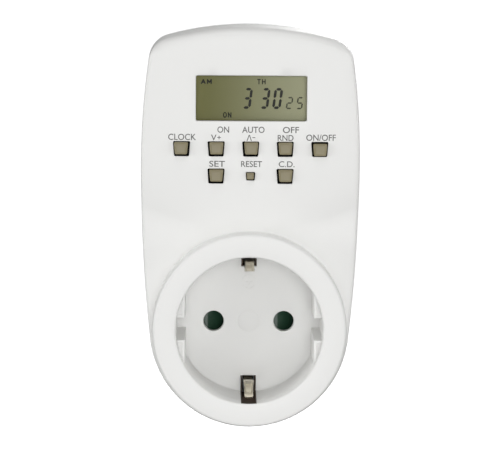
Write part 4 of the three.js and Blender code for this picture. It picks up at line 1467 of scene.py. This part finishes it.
# block-shaped parts: CAD node, piece, material, slot, rounding and its steps, and the legs' places
# from the part's middle
RELAY_BASE = ("relay_base", "relay_socket_base", BLACK, "black_plastic", 0.2, 2,
              [(-5, -6.5), (-5, 6.5), (5, -6.5), (5, 6.5)], 0.4)
FILM_CAPACITOR = ("film_capacitor", "suppression_capacitor", YELLOW, "capacitor_yellow", 0.7, 4,
                  [(0, -5), (0, 5)])
RECTIFIER = ("rectifier", "bridge_rectifier", BLACK, "black_plastic", 0.3, 3,
             [(-2.4, -3.2), (-2.4, 3.2), (2.4, -3.2), (2.4, 3.2)])
FUSE = ("fuse", "board_fuse", BLACK, "black_plastic", 0.5, 4, [(-2.5, 0), (2.5, 0)])


def build_boxed_part(node, name, material, slot, width, segments, leg_places, leg_radius=0.3):
    _, high, mid = middle_of(node)
    soup = cad_soup(node, width, segments)
    add_legs(soup, high.y - 0.5, [(mid.x + dx, mid.z + dz) for dx, dz in leg_places], leg_radius)
    make(name, soup, material, replaces=[node])


def build_relay():
    """The relay's housing, base, wound coil and hinged armature."""
    make("relay_housing", cad_soup("relay_cover", 0.6, 4), BLUE, replaces=["relay_cover"])
    build_boxed_part(*RELAY_BASE)

    low, high, mid = middle_of("relay_coil")
    front, back = low.y + 0.95, high.y - 0.95
    turns = 22
    step = (back - front) / turns
    profile = [(0.9, front)]
    for i in range(turns):
        y = front + (i + 0.5) * step
        profile += [(3.75, y - 0.42 * step), (3.9, y), (3.75, y + 0.42 * step)]
    profile.append((0.9, back))
    wound = Soup()
    wound.solid(lathe(profile, mid.x, mid.z, 40))
    make("relay_winding", wound, COPPER, replaces=["relay_coil"])
    bobbin = Soup()
    for y in (low.y, back + 0.05):
        bobbin.solid(lathe([(4.5, y), (4.6, y + 0.1), (4.6, y + 0.8), (4.5, y + 0.9)], mid.x, mid.z, 40))
    make("relay_bobbin", bobbin, BLACK)

    low, high = box("relay_armature")
    arm = Soup()
    arm.soft_slab(rectangle(low.x, high.x, low.z, high.z), 0.8, 0.15, low.y, high.y)
    make("relay_armature_plate", arm, STEEL, body="armature_body", replaces=["relay_armature"])


def build_electrolytic_capacitor():
    """The smoothing capacitor: a sleeve with a crimp, and the can's bare top."""
    low, high, mid = middle_of("electrolytic_capacitor")
    r = high.x - mid.x
    profile = [(r - 1.1, low.y + 0.15), (r - 0.7, low.y), (r - 0.35, low.y + 0.05), (r, low.y + 0.4),
               (r, high.y - 2.4), (r - 0.35, high.y - 2.0), (r - 0.35, high.y - 1.7), (r, high.y - 1.3),
               (r, high.y - 0.4), (r - 0.4, high.y)]
    soup = Soup()
    soup.solid(lathe(profile, mid.x, mid.z))
    add_legs(soup, high.y - 0.3, [(mid.x - 1.7, mid.z), (mid.x + 1.7, mid.z)])
    make("smoothing_capacitor", soup, BLACK, replaces=["electrolytic_capacitor"])
    top = Soup()
    face, under = low.y + 0.1, low.y + 0.3
    top.solid(lathe([(AXIS, face), (r - 1.15, face), (r - 1.15, under), (AXIS, under)], mid.x, mid.z))
    make("smoothing_capacitor_top", top, STEEL)


def build_varistor():
    low, high, mid = middle_of("varistor")
    r = high.z - mid.z
    half = [(AXIS, 0.3), (r - 1.6, 0.3), (r - 0.7, 0.65), (r - 0.12, 1.2)]
    profile = both_ends(half, low.x, high.x)
    profile.insert(len(half), (r, mid.x))
    soup = Soup()
    soup.solid(across_lathe(profile, mid.y, mid.z, 48))
    add_legs(soup, high.y - 1.6, [(mid.x - 0.4, mid.z - 2.5), (mid.x + 0.4, mid.z + 2.5)])
    make("surge_varistor", soup, BLUE, replaces=["varistor"])


def build_resistor():
    low, high, mid = middle_of("resistor")
    profile = both_ends([(0.3, 0.05), (1.1, 0.2), (1.3, 0.6), (1.3, 1.5), (1.1, 1.9)], low.x, high.x)
    soup = Soup()
    soup.solid(across_lathe(profile, mid.y, mid.z, 36))
    add_legs(soup, high.y - 1.0, [(low.x + 1, mid.z), (high.x - 1, mid.z)], 0.25)
    make("dropper_resistor", soup, YELLOW, replaces=["resistor"])


def build_backup_cell():
    low, high, mid = middle_of("backup_cell")
    r = high.x - mid.x
    profile = [(AXIS, low.y + 0.2), (r - 1.5, low.y + 0.2), (r - 1.3, low.y), (r - 0.8, low.y),
               (r - 0.5, low.y + 0.3), (r - 0.5, low.y + 1.2), (r - 0.1, low.y + 1.3), (r, low.y + 1.6),
               (r, high.y - 0.5), (r - 0.4, high.y), (AXIS, high.y)]
    soup = Soup()
    soup.solid(lathe(profile, mid.x, mid.z, 56))
    add_legs(soup, high.y - 0.3, [(mid.x - 3.5, mid.z), (mid.x + 3.5, mid.z)])
    make("clock_backup_cell", soup, STEEL, replaces=["backup_cell"])


def build_power_parts():
    """What stands on the power board beside the relay."""
    build_boxed_part(*FILM_CAPACITOR)
    build_electrolytic_capacitor()
    build_varistor()
    build_boxed_part(*RECTIFIER)
    build_resistor()
    build_boxed_part(*FUSE)
    build_backup_cell()


def build_wires():
    """The leads from the power board to the pins and to the contacts, live on the left."""
    pin_wire = [(9.5, -15.4, 0), (9.5, -17.5, 0.8), (9.3, -19.4, 4.5), (9, -20.95, 10), (9, -21.5, 18),
                (9, -21.5, 26), (9, -21.6, 30), (9, -22.2, 31.4)]
    contact_wire = [(11.2, -21.9, 3), (11.7, -21.2, 5.5), (13.2, -21.1, 10), (14.5, -21.5, 18),
                    (15, -21.5, 26), (15, -21.6, 30), (15, -22.2, 31.4)]
    lines = ((-1, "live", BROWN_WIRE, "brown_wire"), (1, "neutral", BLUE_WIRE, "blue_wire"))
    for path, radius, name in ((pin_wire, 0.78, "pin_wire"), (contact_wire, 0.68, "contact_wire")):
        for side, line, material, slot in lines:
            soup = Soup()
            soup.tube(smooth_path([(side * x, y, z) for x, y, z in path], 5), radius, 20)
            make(f"{line}_{name}_lead", soup, material, replaces=[f"{line}_{name}"])


# ---------------------------------------------------------------------------
# Camera, light and floor
# ---------------------------------------------------------------------------


AIM = Vector((-0.0001, -0.06, 0.0283))
CAMERA_FROM_AIM = Vector((0, -0.5926, 0.0696))
CAMERA_TURN = math.radians(-0.95)
CAMERA_DOWN = math.radians(6.7)
CAMERA_ROLL = math.radians(0.44)
FLOOR_LEVEL = -0.26
FLOOR_REACH = 30

# name, place and size in metres, and power in watts
SOFT_BOXES = [
    ("front_soft_box", (0.05, -1.3, 0.12), 0.5, 5.6),
    ("front_right_soft_box", (0.57, -1.13, 0.29), 0.5, 1.0),
    ("high_left_soft_box", (-0.68, -0.73, 0.83), 0.5, 1.3),
    ("top_soft_box", (0, -0.44, 1.22), 0.5, 4.2),
    ("low_soft_box", (0, -0.48, -0.22), 0.4, 0.66),
    ("left_soft_box", (-1.17, -0.48, 0.03), 0.5, 5.9),
    ("right_soft_box", (1.17, -0.48, 0.03), 0.5, 4.3),
    ("rear_soft_box", (0.5, 1.2, 0.7), 0.8, 14.0),
]


def add_soft_box(name, place, size, power):
    """A square light turned to the object."""
    light = bpy.data.lights.new(name, "AREA")
    light.shape = "RECTANGLE"
    light.size, light.size_y = size, size
    light.energy = power
    lamp = add_object(name, light)
    lamp.location = place
    lamp.rotation_euler = (AIM - Vector(place)).to_track_quat("-Z", "Y").to_euler()


def build_camera():
    camera = bpy.data.cameras.new("camera")
    camera.lens = 163.7
    camera.sensor_width = 36
    camera.clip_end = 100
    view = add_object("camera", camera)
    turn = Matrix.Rotation(CAMERA_TURN, 4, "Z")
    tilt = Matrix.Rotation(math.pi / 2 - CAMERA_DOWN, 4, "X") @ Matrix.Rotation(CAMERA_ROLL, 4, "Z")
    view.matrix_world = Matrix.Translation(AIM + turn @ CAMERA_FROM_AIM) @ turn @ tilt
    bpy.context.scene.camera = view


def build_surroundings():
    """A pale floor and a plain backdrop. The object isn't lit by them."""
    paper = bpy.data.materials.new("pale_floor")
    paper.use_nodes = True
    set_inputs(paper.node_tree.nodes["Principled BSDF"], Base_Color=(0.85, 0.85, 0.85, 1), Roughness=0.9,
               Emission_Color=(1, 1, 1, 1), Emission_Strength=1.0)
    plane = bpy.data.meshes.new("floor")
    corners = rectangle(-FLOOR_REACH, FLOOR_REACH, -FLOOR_REACH, FLOOR_REACH)
    plane.from_pydata([(x, y, FLOOR_LEVEL) for x, y in corners], [], [(0, 1, 2, 3)])
    ground = add_object("floor", plane)
    ball = bpy.data.meshes.new("backdrop")
    work = bmesh.new()
    bmesh.ops.create_icosphere(work, subdivisions=3, radius=6)
    work.to_mesh(ball)
    work.free()
    backdrop = add_object("backdrop", ball)
    backdrop.visible_shadow = False
    for thing in (ground, backdrop):
        thing.data.materials.append(paper)
        thing.visible_diffuse = False
        thing.visible_glossy = False


def build_stage():
    build_camera()
    world = bpy.data.worlds.new("studio")
    bpy.context.scene.world = world
    world.use_nodes = True
    set_inputs(world.node_tree.nodes["Background"], Color=(1, 1, 1, 1), Strength=0.07)
    for light in SOFT_BOXES:
        add_soft_box(*light)
    build_surroundings()


bpy.context.scene.view_settings.view_transform = "Standard"
build_stage()
build_cover()
build_insert()
build_guides()
build_earth_symbol()
build_earth_clip()
build_contacts()
build_shutter()
build_shutter_spring()
build_carrier()
build_pins()
build_earth_strap()
build_screws()
build_rear()
build_key_gap_shade()
for key_node in KEY_NODES:
    build_key(key_node)
build_legends()
build_display()
build_boards()
build_relay()
build_power_parts()
build_wires()
